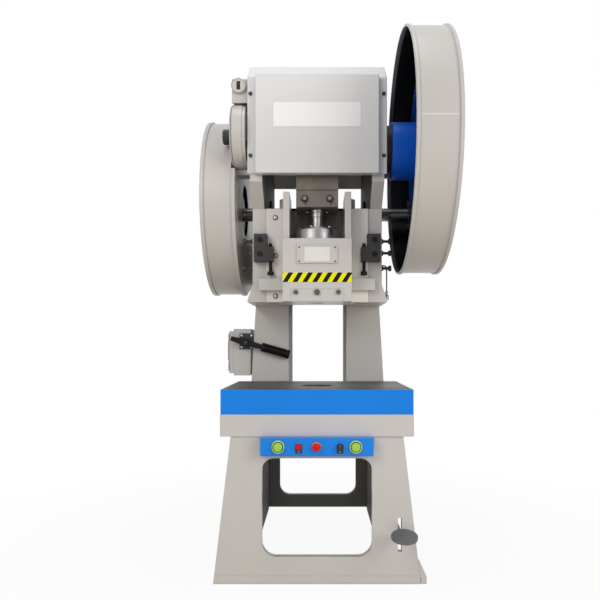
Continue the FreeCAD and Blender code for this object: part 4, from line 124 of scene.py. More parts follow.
class TrimSettings(bpy.types.PropertyGroup):
    sign_width: bpy.props.FloatProperty(
        name="Sign width", description="Width of the bare plate on the head", default=0.410, unit="LENGTH")
    sign_height: bpy.props.FloatProperty(
        name="Sign height", description="Height of the bare plate on the head", default=0.114, unit="LENGTH")
    sign_z: bpy.props.FloatProperty(
        name="Sign level", description="Height of its middle over the floor", default=2.1497, unit="LENGTH")
    label_width: bpy.props.FloatProperty(
        name="Label width", description="Width of the bare plate on the slide", default=0.119, unit="LENGTH")
    label_height: bpy.props.FloatProperty(
        name="Label height", description="Height of the bare plate on the slide", default=0.067,
        unit="LENGTH")
    hazard_width: bpy.props.FloatProperty(
        name="Hazard band width", description="Length of the striped band", default=0.325, unit="LENGTH")
    hazard_low: bpy.props.FloatProperty(
        name="Hazard band low", description="Lower edge of the striped band", default=1.3625, unit="LENGTH")
    hazard_high: bpy.props.FloatProperty(
        name="Hazard band high", description="Upper edge of the striped band", default=1.4070, unit="LENGTH")
    lamp_lean: bpy.props.FloatProperty(
        name="Lamp slope", description="Fall of the lamp head from level", default=math.radians(15.5),
        subtype="ANGLE")
    lamp_length: bpy.props.FloatProperty(
        name="Lamp length", description="Length of the lamp head", default=0.167, unit="LENGTH")
    lamp_diameter: bpy.props.FloatProperty(
        name="Lamp diameter", description="Lamp head over its ribs", default=0.050, unit="LENGTH")
    pipe_x: bpy.props.FloatProperty(
        name="Grease pipe place", description="Grease pipe from the middle", default=0.3460, unit="LENGTH")
    pipe_y: bpy.props.FloatProperty(
        name="Grease pipe depth", description="Grease pipe in Y", default=-0.340, unit="LENGTH")
    pipe_low: bpy.props.FloatProperty(
        name="Grease pipe foot", description="Lower end of the grease pipe", default=1.331, unit="LENGTH")
    pipe_high: bpy.props.FloatProperty(
        name="Grease pipe top", description="Height at which the pipe enters the frame", default=1.462,
        unit="LENGTH")
    sole_height: bpy.props.FloatProperty(
        name="Sole height", description="Strip along the front plate's foot", default=0.036, unit="LENGTH")
    base_slope: bpy.props.FloatProperty(
        name="Base slope", description="Side taper of the front plate for each unit of height",
        default=0.1184)


class StageSettings(bpy.types.PropertyGroup):
    lens: bpy.props.FloatProperty(
        name="Lens", description="Focal length on a 36 mm sensor", default=39.0, unit="CAMERA")
    eye: bpy.props.FloatVectorProperty(
        name="Eye", description="Camera place", subtype="XYZ", size=3, default=(0.012, -3.583, 1.0696))
    key: bpy.props.FloatProperty(
        name="Key", description="Power of the key light", default=73.0, unit="POWER")
    fill: bpy.props.FloatProperty(
        name="Fill", description="Power of the fill light", default=78.0, unit="POWER")
    top: bpy.props.FloatProperty(
        name="Top", description="Power of the light overhead", default=30.0, unit="POWER")
    low: bpy.props.FloatProperty(
        name="Low", description="Power of the low light from the front", default=18.0, unit="POWER")
    sky: bpy.props.FloatProperty(name="Sky", description="Strength of the even light", default=0.30)
    floor_size: bpy.props.FloatProperty(
        name="Floor", description="Half the floor's side", default=40.0, unit="LENGTH")
    floor_glow: bpy.props.FloatProperty(
        name="Floor white", description="Share of plain white in the floor near the press", default=0.94)


# ---------------------------------------------------------------- surfaces

def quads(rows, columns):
    """Faces of a grid whose rows are closed rings: a point, the next in its ring, and both one ring on."""
    row, column = np.meshgrid(np.arange(rows - 1) * columns, np.arange(columns), indexing="ij")
    here, beside = row + column, row + (column + 1) % columns
    return np.stack([here, beside, beside + columns, here + columns], axis=-1).reshape(-1, 4).tolist()


def closed(rows, columns):
    """Faces of such a grid, with one more over its first ring and one over its last."""
    last = (rows - 1) * columns
    return quads(rows, columns) + [list(range(columns))[::-1], list(range(last, last + columns))]


def lathe(profile, centre, axis, segments=96):
    """Points and faces of a turned shape.

    A point is centre + s * along + r * (cos t * across + sin t * up), for each (s, r) of the profile and t
    round the axis. Ends with r of zero close to a pole.
    """
    s, r = np.array(profile, float).T[:, :, None, None]
    along = np.array(axis, float) / np.linalg.norm(axis)
    across = np.cross(UP if abs(along[2]) < 0.9 else RIGHT, along)
    across /= np.linalg.norm(across)
    turn = np.linspace(0, 2 * math.pi, segments, endpoint=False)[:, None]
    ring = np.cos(turn) * across + np.sin(turn) * np.cross(along, across)
    return (centre + s * along + r * ring).reshape(-1, 3), quads(len(profile), segments)


def tube(path, radius, segments=16):
    """Points and faces of a round bar along a path: each path point carries a ring square to its tangent."""
    path = np.array(path, float)
    tangent = np.gradient(path, axis=0)
    tangent /= np.linalg.norm(tangent, axis=1)[:, None]
    side = np.cross(tangent, (0.3, 1.0, 0.2))
    side /= np.linalg.norm(side, axis=1)[:, None]
    up = np.cross(tangent, side)
    turn = np.linspace(0, 2 * math.pi, segments, endpoint=False)[:, None]
    rings = path[:, None] + radius * (np.cos(turn) * side[:, None] + np.sin(turn) * up[:, None])
    return rings.reshape(-1, 3), closed(len(path), segments)


def prism(outline, span, axis):
    """Points and faces of an outline carried along an axis: each outline point at both ends of the span.

    The outline is in the two other axes, in X, Y, Z order.
    """
    outline = np.array(outline, float)
    points = [np.insert(outline, "xyz".index(axis), end, axis=1) for end in span]
    return np.concatenate(points), closed(2, len(outline))


def merged(shapes):
    """One shape from several: all points in a row, and faces that count on from the points before."""
    points, faces = [], []
    for some_points, some_faces in shapes:
        start = len(points)
        points += some_points.tolist()
        faces += [[index + start for index in face] for face in some_faces]
    return points, faces


def lathes(profile, spots, axis, segments):
    """Copies of a turned shape at several places."""
    return merged(lathe(profile, spot, axis, segments) for spot in spots)


def corner_spots(low, high, inset):
    """Four places inside the corners of a rectangle."""
    (left, bottom), (right, top) = np.add(low, inset), np.subtract(high, inset)
    return [(across, up) for across in (left, right) for up in (bottom, top)]


def quarter(s, r, rise, reach, steps):
    """Points (s + rise * sin a, r + reach * cos a), with a from 0 to a right angle."""
    turn = np.linspace(0, math.pi / 2, steps)
    return np.stack([s + rise * np.sin(turn), r + reach * np.cos(turn)], axis=-1).tolist()


def button(radius, height, dome, rim):
    """Profile of a round cap from its foot to its pole: an upright side, a quarter-round rim and a low dome.

    The dome's height at radius r is height + dome * (1 - (r / inner) ** 2).
    """
    inner = radius - rim
    share = np.linspace(1, 0, 6)[1:]
    crown = np.stack([height + dome * (1 - share ** 2), inner * share], axis=-1).tolist()
    return [(0, radius)] + quarter(height - rim, inner, rim, rim, 5) + crown


def hoop(low, high, inner, outer, chamfer=0.0):
    """Profile of a closed ring between two heights and two radii, with its high outer edge chamfered."""
    edge = [(high - chamfer, outer), (high, outer - chamfer)] if chamfer else [(high, outer)]
    return [(low, inner), (low, outer), *edge, (high, inner), (low, inner)]


def rounded(low, high, radius):
    """Outline of a rectangle with quarter-circle corners: corner centre + radius * (cos a, sin a)."""
    (left, bottom), (right, top) = np.add(low, radius), np.subtract(high, radius)
    centres = np.array(((right, top), (left, top), (left, bottom), (right, bottom)))
    turn = (np.arange(4)[:, None] + np.linspace(0, 1, 7)) * math.pi / 2
    return (centres[:, None] + radius * np.stack([np.cos(turn), np.sin(turn)], axis=-1)).reshape(-1, 2)


def make(name, shape, slot, finish, body="press", sharp=30, second=None):
    """Object at the origin from a shape's points and faces, which rides on a body.

    Doubles are merged, faces point outwards, and edges up to the sharp angle are shaded smoothly. A second
    finish comes with the number of the first face that wears it.
    """
    points, faces = shape
    mesh = bpy.data.meshes.new(name)
    mesh.from_pydata(np.array(points, float).tolist(), [], faces)
    mesh.validate()
    mesh.update()
    thing = bpy.data.objects.new(name, mesh)
    bpy.context.scene.collection.objects.link(thing)
    mesh.materials.append(FINISHES[finish])
    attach(thing, body)
    if second:
        mesh.materials.append(FINISHES[second[0]])
        mesh.polygons.foreach_set("material_index", (np.arange(len(faces)) >= second[1]).astype(int))
    work = bmesh.new()
    work.from_mesh(mesh)
    bmesh.ops.remove_doubles(work, verts=work.verts, dist=1e-6)
    bmesh.ops.dissolve_degenerate(work, dist=1e-7, edges=work.edges)
    bmesh.ops.recalc_face_normals(work, faces=work.faces)
    work.to_mesh(mesh)
    work.free()
    mesh.shade_smooth()
    mesh.set_sharp_from_angle(angle=math.radians(sharp))
    return thing


def bevel(thing, width, segments=2):
    """Round the edges that are sharper than 40 degrees."""
    modifier = thing.modifiers.new("edge", "BEVEL")
    modifier.width = width
    modifier.segments = segments
    modifier.limit_method = "ANGLE"
    modifier.angle_limit = math.radians(40)
    modifier.harden_normals = True


def slab(name, low, high, span, axis, slot, finish, body="press", *, radius, edge):
    """Flat piece with rounded corners and a fine bevel round both faces."""
    bevel(make(name, prism(rounded(low, high, radius), span, axis), slot, finish, body), edge)


# ---------------------------------------------------------------- finishes

class Nodes:
    """Short way to build a node tree. A value is a number, a vector, a colour or a node's output."""

    def __init__(self, owner, kind="OutputMaterial"):
        owner.use_nodes = True
        self.tree = owner.node_tree
        self.tree.nodes.clear()
        self.end = self.add(kind).inputs

    def fill(self, sockets, values):
        """Link or set each socket that is named or numbered."""
        for name, value in values.items():
            if isinstance(value, bpy.types.NodeSocket):
                self.tree.links.new(value, sockets[name])
            else:
                sockets[name].default_value = value

    def add(self, kind, values=None, **options):
        node = self.tree.nodes.new("ShaderNode" + kind)
        for name, option in options.items():
            setattr(node, name, option)
        self.fill(node.inputs, values or {})
        return node

    def math(self, operation, first, *others):
        """Result of an operation on one value, or on several from left to right."""
        for other in others or (0,):
            first = self.add("Math", {0: first, 1: other}, operation=operation).outputs[0]
        return first

    def ramp(self, value, low, high, first=0.0, last=1.0):
        """Number that goes from first to last as the value goes from low to high."""
        limits = {"From Min": low, "From Max": high, "To Min": first, "To Max": last}
        return self.add("MapRange", {"Value": value, **limits}).outputs[0]


class Finish(Nodes):
    """Nodes of one material in Object coordinates."""

    def __init__(self, name):
        self.material = bpy.data.materials.new(name)
        super().__init__(self.material)
        self.shader = self.add("BsdfPrincipled")
        self.fill(self.end, {"Surface": self.shader.outputs[0]})
        self.place = self.add("TexCoord").outputs["Object"]

    def split(self, vector=None):
        """X, Y and Z of a vector, or of the place."""
        return self.add("SeparateXYZ", {0: vector or self.place}).outputs

    def noise(self, scale, detail=3.0, rough=0.5):
        """Noise of a scale; three numbers scale it differently along X, Y and Z."""
        place = self.place
        if isinstance(scale, tuple):
            place, scale = self.add("Mapping", {"Vector": place, "Scale": scale}).outputs[0], 1.0
        values = {"Vector": place, "Scale": scale, "Detail": detail, "Roughness": rough}
        return self.add("TexNoise", values).outputs["Fac"]

    def clouds(self, scale, detail, first=0.0, last=1.0, rough=0.5):
        """Number that changes softly from first to last over the patches of a noise."""
        return self.ramp(self.noise(scale, detail, rough), 0.3, 0.7, first, last)

    def blend(self, factor, first, last):
        """Mix of two colours by a factor."""
        first, last = ((*colour, 1) if isinstance(colour, tuple) else colour for colour in (first, last))
        return self.add("Mix", {0: factor, 6: first, 7: last}, data_type="RGBA").outputs[2]

    def mottled(self, factor, colour, low, high):
        """Colour between a darker and a lighter tint of itself."""
        return self.blend(factor, tint(colour, low), tint(colour, high))

    def distance(self, outputs, centre):
        """Distance from an axis: the root of the sum of two squared gaps to its centre."""
        gaps = [self.math("SUBTRACT", output, middle) for output, middle in zip(outputs, centre)]
        return self.math("SQRT", self.math("ADD", *(self.math("MULTIPLY", gap, gap) for gap in gaps)))

    def edges(self, radius):
        """Rounded normal of the sharp edges, and a mask that is 1 on them."""
        soft = self.add("Bevel", {"Radius": radius}, samples=4).outputs[0]
        flat = self.add("NewGeometry").outputs["Normal"]
        dot = self.add("VectorMath", {0: soft, 1: flat}, operation="DOT_PRODUCT").outputs["Value"]
        return soft, self.ramp(dot, 0.88, 0.995, 1.0, 0.0)

    def chipped(self, edge, most):
        """Mask of patchy wear along the edges."""
        return self.math("MULTIPLY", edge, self.ramp(self.noise(38.0, 5.0), 0.35, 0.65, 0.0, most))

    def crevice(self, distance):
        """Mask that is 1 in corners and along seams, where dirt gathers and shade falls; colour darkened by
        it is partly painted shade.
        """
        hollow = self.add("AmbientOcclusion", {"Distance": distance}, samples=4).outputs["AO"]
        return self.ramp(hollow, 0.35, 0.95, 1.0, 0.0)

    def done(self, values, height, soft=None, *, strength, depth):
        """The material, with the shader's sockets filled and a bump from a height."""
        bump = self.add("Bump", {"Height": height, "Strength": strength, "Distance": depth})
        if soft is not None:
            self.fill(bump.inputs, {"Normal": soft})
        self.fill(self.shader.inputs, {**values, "Normal": bump.outputs[0]})
        return self.material


def tint(colour, factor):
    """Colour made darker or lighter by a factor, up to full."""
    return tuple(min(1.0, channel * factor) for channel in colour)


def inside_box(low, high):
    """Mask of what lies between two corners."""
    def mask(n):
        place = n.split()
        above = [n.math("GREATER_THAN", place[axis], low[axis]) for axis in range(3)]
        below = [n.math("LESS_THAN", place[axis], high[axis]) for axis in range(3)]
        return n.math("MULTIPLY", *above, *below)
    return mask


def beyond_radius(centre, radius):
    """Mask of what lies further than a radius from an X axis through a place in Y and Z."""
    return lambda n: n.math("GREATER_THAN", n.distance(n.split()[1:], centre), radius)


def inside_drum(centre, radius, x_low, x_high):
    """Mask of a sheet drum's inner side, where painted shade darkens the enamel."""
    def mask(n):
        x, y, z = n.split()
        return n.math("MULTIPLY", n.math("LESS_THAN", n.distance((y, z), centre), radius),
                      n.math("LESS_THAN", x, x_high), n.math("GREATER_THAN", x, x_low))
    return mask


def wall_side(n):
    """Mask of what faces the middle of the press: x times the normal's x is well below zero."""
    facing = n.split(n.add("NewGeometry").outputs["True Normal"])
    return n.math("LESS_THAN", n.math("MULTIPLY", n.split()[0], facing[0]), -0.05)


def graded(axis, start, end, first, last):
    """Colour that goes from a first to a last along an axis, X 0 or Z 2."""
    return lambda n: n.blend(n.ramp(n.split()[axis], start, end), first, last)


def enamel(name, colour, rough=0.34, mottle=0.025, dirt_and_shade_share=0.30, coat=0.12, edge_radius=0.0022, second=None,
           mask=None, dull=False):
    """Sprayed enamel: faint clouding, dirt and painted shade along seams, paler worn edges, orange-peel bump.

    A second colour can take the places that a mask picks, and dull makes them matt; below, every such second
    colour is painted light or painted shade.
    """
    n = Finish(name)
    soft, edge = n.edges(edge_radius)
    shade = n.mottled(n.clouds(1.7, 3.0), colour, 1 - mottle, 1 + mottle)
    if mask:
        picked = mask(n)
        shade = n.blend(picked, shade, second(n) if callable(second) else second)
    # Darker in corners and along seams: streaky dirt, and painted shade from ambient occlusion.
    streaks = n.ramp(n.noise((26, 26, 3), 4.0, 0.6), 0.35, 0.75, 0.5, 1.0)
    dirt_and_shade = n.math("MULTIPLY", n.crevice(0.016), streaks, dirt_and_shade_share)
    shade = n.blend(dirt_and_shade, shade, tint(colour, 0.22))
    shade = n.blend(n.chipped(edge, 0.30), shade, tint(colour, 1.30))
    gloss = n.clouds(7.0, 4.0, rough - 0.04, rough + 0.06)
    if dull:
        gloss = n.math("MAXIMUM", gloss, n.math("MULTIPLY", picked, 0.72))
    return n.done({"Base Color": shade, "Roughness": gloss, "Specular IOR Level": 0.30,
                   "Coat Weight": coat, "Coat Roughness": 0.16}, n.noise(420.0, 2.0), soft, strength=0.06,
                  depth=0.0005)


def steel(name, colour, rough, grain, metallic=1.0, mottle=0.10, depth=0.0003):
    """Machined metal: fine tool marks stretched along the cut, with stains of oil, painted shade in corners
    and bright edges.
    """
    n = Finish(name)
    soft, edge = n.edges(0.0010)
    marks = n.noise(grain, 3.0, 0.6)
    shade = n.mottled(n.clouds(14.0, 4.0, rough=0.55), colour, 1 - mottle, 1 + mottle)
    shade = n.blend(n.math("MULTIPLY", edge, 0.5), shade, tint(colour, 1.5))
    # Darker in corners and seams: oil, and painted shade from ambient occlusion.
    shade = n.blend(n.math("MULTIPLY", n.crevice(0.010), 0.75), shade, tint(colour, 0.12))
    gloss = n.ramp(marks, 0.25, 0.75, rough - 0.08, rough + 0.12)
    return n.done({"Base Color": shade, "Metallic": metallic, "Roughness": gloss}, marks, soft,
                  strength=0.25, depth=depth)


def ringed_steel(name, colour, rough, metallic=1.0):
    """Turned face and rim: grooves of the lathe tool about the screw's upright axis.

    Their height is the sine of 2 pi * (distance from the axis + z) / pitch.
    """
    n = Finish(name)
    soft, edge = n.edges(0.0010)
    pitch = 0.0011
    x, y, z = n.split()
    reach = n.math("ADD", n.distance((x, y), (0, CRANK_Y)), z)
    wave = n.math("SINE", n.math("MULTIPLY", reach, 2 * math.pi / pitch))
    shade = n.mottled(n.clouds(18.0, 4.0, rough=0.55), colour, 0.90, 1.08)
    shade = n.blend(n.math("MULTIPLY", edge, 0.5), shade, tint(colour, 1.3))
    gloss = n.clouds(30.0, 4.0, rough - 0.05, rough + 0.10)
    return n.done({"Base Color": shade, "Metallic": metallic, "Roughness": gloss}, wave, soft,
                  strength=0.10, depth=0.0002)


def moulded(name, colour, rough=0.30, coat=0.3, texture=900.0, mottle=0.05, specular=0.4):
    """Moulded plastic or rubber: even colour with a fine spark-eroded texture."""
    n = Finish(name)
    patch = n.noise(60.0, 3.0)
    shade = n.mottled(n.ramp(patch, 0.3, 0.7), colour, 1 - mottle, 1 + mottle)
    gloss = n.ramp(patch, 0.3, 0.7, rough - 0.04, rough + 0.06)
    return n.done({"Base Color": shade, "Roughness": gloss, "Coat Weight": coat,
                   "Specular IOR Level": specular}, n.noise(texture, 2.0), strength=0.12, depth=0.0002)


def cast(name, colour):
    """Rough casting: coarse pitted skin with darker hollows."""
    n = Finish(name)
    soft, edge = n.edges(0.0030)
    skin = n.noise(260.0, 5.0, 0.6)
    shade = n.mottled(n.clouds(11.0, 4.0), colour, 0.85, 1.12)
    shade = n.blend(n.math("MULTIPLY", edge, 0.4), shade, tint(colour, 1.6))
    gloss = n.ramp(skin, 0.3, 0.7, 0.45, 0.65)
    return n.done({"Base Color": shade, "Metallic": 0.6, "Roughness": gloss}, skin, soft, strength=0.3,
                  depth=0.0008)


def bolster_finish(name, colour, low, high):
    """Blue enamel on the plate's four outer sides; dark milled steel on its top, bore and slots."""
    n = Finish(name)
    soft, edge = n.edges(0.0018)
    x, y, z = n.split()
    skin = 0.0004
    sides = [test for axis, place in enumerate((x, y)) for test in (
        n.math("LESS_THAN", place, low[axis] + skin), n.math("GREATER_THAN", place, high[axis] - skin))]
    outer = n.math("MAXIMUM", *sides)
    painted = n.math("MULTIPLY", outer, n.math("LESS_THAN", z, high[2] - skin))
    bare = n.math("SUBTRACT", 1.0, painted)
    mill = n.noise((5, 340, 5), 3.0, 0.55)
    paint = n.mottled(n.clouds(2.6, 4.0), colour, 0.96, 1.05)
    paint = n.blend(n.chipped(edge, 0.25), paint, tint(colour, 1.6))
    metal = n.blend(n.clouds(6.0, 5.0), (0.060, 0.061, 0.063), (0.105, 0.106, 0.108))
    gloss = n.add("Mix", {0: bare, 2: 0.34, 3: n.ramp(mill, 0.3, 0.7, 0.34, 0.56)}, data_type="FLOAT")
    return n.done({"Base Color": n.blend(bare, paint, metal), "Metallic": n.math("MULTIPLY", bare, 0.8),
                   "Roughness": gloss.outputs[0], "Specular IOR Level": 0.25}, mill, soft,
                  strength=0.10, depth=0.0003)


def striped(name, bright, dark, pitch, slope):
    """Adhesive band with slanting stripes: x - slope * z, folded back and forth over half the pitch."""
    n = Finish(name)
    x, _, z = n.split()
    saw = n.math("PINGPONG", n.math("ADD", n.math("MULTIPLY", z, -slope), x), pitch / 2)
    stripe = n.ramp(saw, pitch / 4 - 0.0002, pitch / 4 + 0.0002)
    scuff = n.ramp(n.noise(90.0, 6.0, 0.65), 0.66, 0.80, 0.0, 0.08)
    shade = n.blend(scuff, n.blend(stripe, bright, dark), (0.25, 0.24, 0.18))
    return n.done({"Base Color": shade, "Roughness": n.clouds(30.0, 4.0, 0.42, 0.56),
                   "Specular IOR Level": 0.15}, n.noise(500.0, 2.0), strength=0.08, depth=0.0003)


FINISHES = {}


def make_finishes(look):
    """Fill FINISHES; colours are linear, and the masks are in metres."""
    paint, blue, wheel = tuple(look.paint), tuple(look.table_blue), tuple(look.wheel_blue)
    # Black and grey of the painted shade inside the drums and on the flywheel's rim, and the head cover's
    # enamel.
    dark, drum_mouth_shade, cover = (0.006, 0.006, 0.009), (0.22, 0.22, 0.235), (0.662, 0.658, 0.654)
    # Front face of the head's rear plate, paler than the frame: painted light where the cover's shade falls.
    rear_face_lit = inside_box((-1, 0, 1.9), (1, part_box("head_rear_plate")[0][1] + 0.0004, 2.5))
    # Pocket in the slide's front, painted dark: painted shade.
    slide_recess_shade = inside_box((-0.132, -0.492, 1.60), (0.132, -0.20, 1.81))
    whole_cover = inside_box((-1, -2, 1.5), (1, 1, 3))
    right_gib_lit = inside_box((0, -1, 1), (1, 1, 2))
    even, fine = (200, 200, 200), (300, 300, 300)
    FINISHES.update({
        "paint": enamel("warm_grey_enamel", paint),
        # Base rear plate dark grey all over: painted shade inside the base.
        "inner_paint": enamel("primer_grey", tint(paint, 0.47), 0.45, coat=0.0),
        "rear_paint": enamel("rear_plate_enamel", paint, second=(0.84, 0.79, 0.75), mask=rear_face_lit),
        "slide_paint": enamel("slide_enamel", paint, second=tint(paint, 0.17), mask=slide_recess_shade),
        # Flywheel near-black, blacker on its rim: painted shade for the dark seen through the guard's hole.
        "flywheel": enamel("flywheel_enamel", tint(wheel, 0.10), 0.40, second=dark,
                           mask=beyond_radius(*FLYWHEEL)),
        # Head cover paler towards its top: painted light.
        "cover_paint_lit_top": enamel("glossy_grey_enamel", cover, 0.22, 0.015, coat=0.30, edge_radius=0.009,
                              second=graded(2, 1.98, 2.34, cover, tint(cover, 1.17)), mask=whole_cover),
        # Base side plates darker and matt where they face the middle: painted shade inside the base.
        "side_paint": enamel("side_plate_enamel", paint, second=tint(paint, 0.42), mask=wall_side,
                             coat=0.0, dull=True),
        # Gear guard's inside: grey near its mouth, black further in: painted shade.
        "gear_guard": enamel("gear_guard_enamel", tint(paint, 0.93),
                             second=graded(0, 0.418, 0.426, drum_mouth_shade, dark),
                             mask=inside_drum(*GEAR_GUARD, 0.4045, 0.5935)),
        # Flywheel guard's inside black: painted shade.
        "flywheel_guard": enamel("flywheel_guard_enamel", paint, second=dark,
                                 mask=inside_drum(*FLYWHEEL_GUARD, -0.5705, -0.4055)),
        "bolster": bolster_finish("bolster_enamel_and_steel", blue, *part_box("bolster_plate")),
        "table_blue": enamel("panel_blue_enamel", blue, 0.32, 0.04, 0.2, coat=0.0),
        "wheel_blue": enamel("wheel_blue_enamel", wheel, 0.30, 0.08, 0.4),
        "white_metal": steel("polished_bolt", (0.34, 0.33, 0.32), 0.38, fine, mottle=0.04),
        "shaded_paint": enamel("bearing_enamel", tint(paint, 0.20), 0.86, coat=0.0),
        # Frame sides' inner faces darker above 1.22 to 1.27 m: painted shade under the head.
        "frame_side": enamel("frame_side_enamel", paint, mask=wall_side, coat=0.0, dull=True,
                             second=graded(2, 1.22, 1.27, paint, tint(paint, 0.30))),
        # Gibs paler than the frame, the right one palest: painted light.
        "gib_paint_lit": enamel("gib_enamel", tint(paint, 1.30), second=tint(paint, 1.55), mask=right_gib_lit),
        # Weld seam paler than the guard: painted highlight on its crown.
        "seam": enamel("seam_enamel", tint(paint, 1.20), 0.30, dirt_and_shade_share=0.0, coat=0.2),
        "label": moulded("plate_off_white", (0.74, 0.73, 0.72), 0.36, 0.1, 300.0, 0.015),
        "bracket_paint": enamel("bracket_enamel", (0.034, 0.031, 0.029), 0.45, 0.15, 0.0, coat=0.0),
        "black_paint": enamel("black_enamel", (0.020, 0.020, 0.021), 0.38, 0.15, 0.0),
        "steel_x": steel("ground_steel_x", (0.24, 0.24, 0.235), 0.36, (3, 380, 380)),
        "steel_z": steel("ground_steel_z", (0.30, 0.295, 0.29), 0.36, (380, 380, 3)),
        "turned": ringed_steel("turned_steel", (0.26, 0.252, 0.245), 0.28),
        "satin": ringed_steel("satin_collar_steel", (0.42, 0.41, 0.40), 0.42, 0.7),
        "worn_rod": steel("oily_rod_casting", (0.155, 0.135, 0.112), 0.55, (60, 60, 220), 0.25, 0.14),
        "dark_steel": steel("blackened_steel", (0.040, 0.040, 0.043), 0.38, even, 0.8),
        "pedal_steel": steel("worn_pedal_steel", (0.15, 0.15, 0.155), 0.42, even, 0.8),
        "fastener": steel("oiled_fastener_steel", (0.10, 0.10, 0.10), 0.30, fine),
        "bright_bolt": steel("zinc_bolt_steel", (0.21, 0.205, 0.20), 0.28, fine),
        "bronze": steel("bearing_bronze", (0.55, 0.34, 0.12), 0.30, (300, 3, 3)),
        "casting": cast("dark_casting", (0.16, 0.16, 0.165)),
        "belt": moulded("belt_rubber", (0.012, 0.012, 0.012), 0.72, 0.0, 700.0),
        "anodised": moulded("black_anodised", (0.006, 0.005, 0.005), 0.42, 0.0, 1200.0, specular=0.18),
        "green": moulded("lime_plastic", tuple(look.green), 0.32, 0.1, specular=0.25),
        "pale_green": moulded("pale_ring_plastic", (0.60, 0.78, 0.20), 0.36, specular=0.2),
        "red": moulded("red_plastic", tuple(look.red), 0.36, 0.0, specular=0.15),
        "black_plastic": moulded("black_plastic", (0.014, 0.014, 0.015), 0.32),
        "white_mark": moulded("white_plastic", (0.75, 0.75, 0.74), 0.35),
        "chrome": steel("bright_bezel", (0.55, 0.55, 0.55), 0.16, even, mottle=0.03, depth=0.0001),
        "white_sign": moulded("off_white_sign", (0.90, 0.895, 0.89), 0.36, 0.1, 300.0, 0.015),
        "yellow": moulded("amber_plastic", (0.85, 0.42, 0.01), 0.36, 0.0, specular=0.15),
        "lens": moulded("dark_lens", (0.05, 0.055, 0.06), 0.08, 0.8, 200.0),
        "hazard": striped("hazard_band", tuple(look.hazard), (0.003, 0.003, 0.003), 0.0463, 0.62),
    })


NODES_BY_FINISH = {
    "paint": ("base_front_plate", "anchor_feet", "table_plate", "rear_tie_plate", "shank_clamp",
              "knockout_bar", "slide_cover_plate", "motor", "guard_brackets", "brake_drum", "brake_band",
              "brake_bracket", "electrical_cabinet", "cabinet_door"),
    "inner_paint": ("base_rear_plate",), "side_paint": ("base_side_plates",), "bolster": ("bolster_plate",),
    "frame_side": ("frame_side_right", "frame_side_left"), "rear_paint": ("head_rear_plate",),
    "cover_paint_lit_top": ("head_front_cover", "head_top_cover"), "slide_paint": ("slide",),
    "gib_paint_lit": ("front_gibs",), "bracket_paint": ("stop_brackets",), "gear_guard": ("gear_guard",),
    "flywheel_guard": ("flywheel_guard",), "shaded_paint": ("countershaft_bearings",),
    "black_paint": ("shaft_end_cap", "lamp_bracket"), "table_blue": ("control_panel",),
    "wheel_blue": ("bull_gear",), "flywheel": ("flywheel",),
    "steel_x": ("crankshaft", "pinion_shaft", "pedal_bracket"), "steel_z": ("rear_gibs",),
    "dark_steel": ("cover_screws", "gib_adjusters"), "fastener": ("shank_clamp_bolts",),
    "bright_bolt": ("gib_bolts", "rod_bolts"), "turned": ("ball_screw", "ball_nut"),
    "worn_rod": ("connecting_rod", "rod_clamp_cap"), "bronze": ("ball_seat", "crank_bushes"),
    "pedal_steel": ("foot_pedal",), "casting": ("motor_pulley",), "belt": ("drive_belts",),
    "anodised": ("stop_bolts", "clutch_ring", "lamp_arm", "lamp_head"),
    "green": ("palm_button_left", "palm_button_right"), "red": ("emergency_stop", "start_button"),
    "black_plastic": ("selector_switch",),
}


class PRESS_OT_finishes(bpy.types.Operator):
    """Give every CAD node its finish"""
    bl_idname = "press.finishes"
    bl_label = "Frame finishes"

    def execute(self, context):
        make_finishes(context.scene.press_finish)
        for finish, nodes in NODES_BY_FINISH.items():
            for thing in (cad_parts[node] for node in nodes):
                for holder in thing.material_slots:
                    holder.material = FINISHES[finish]
                if not thing.material_slots:
                    thing.data.materials.append(FINISHES[finish])
        return {"FINISHED"}


# ---------------------------------------------------------------- trim

class PRESS_OT_signs(bpy.types.Operator):
    """Bare plates on the head and the slide, and the striped band"""
    bl_idname = "press.signs"
    bl_label = "Plates and band"

    def execute(self, context):
        trim = context.scene.press_trim
        half, rise = trim.sign_width / 2, trim.sign_height / 2
        slab("head_sign", (-half, trim.sign_z - rise), (half, trim.sign_z + rise),
             (COVER_FRONT - 0.0016, COVER_FRONT), "y", "bright_steel", "white_sign", radius=0.004,
             edge=0.0005)
        half = trim.hazard_width / 2
        slab("hazard_band", (-half, trim.hazard_low), (half, trim.hazard_high),
             (SLIDE_FRONT - 0.0012, SLIDE_FRONT), "y", "paint_grey", "hazard", "ram", radius=0.001,
             edge=0.0002)
        middle = (PLATE_LOW + PLATE_HIGH)[::2] / 2
        half = np.array((trim.label_width, trim.label_height)) / 2
        slab("slide_label", middle - half, middle + half, (PLATE_LOW[1] - 0.0010, PLATE_LOW[1]), "y",
             "bright_steel", "label", "ram", radius=0.003, edge=0.0003)
        return {"FINISHED"}


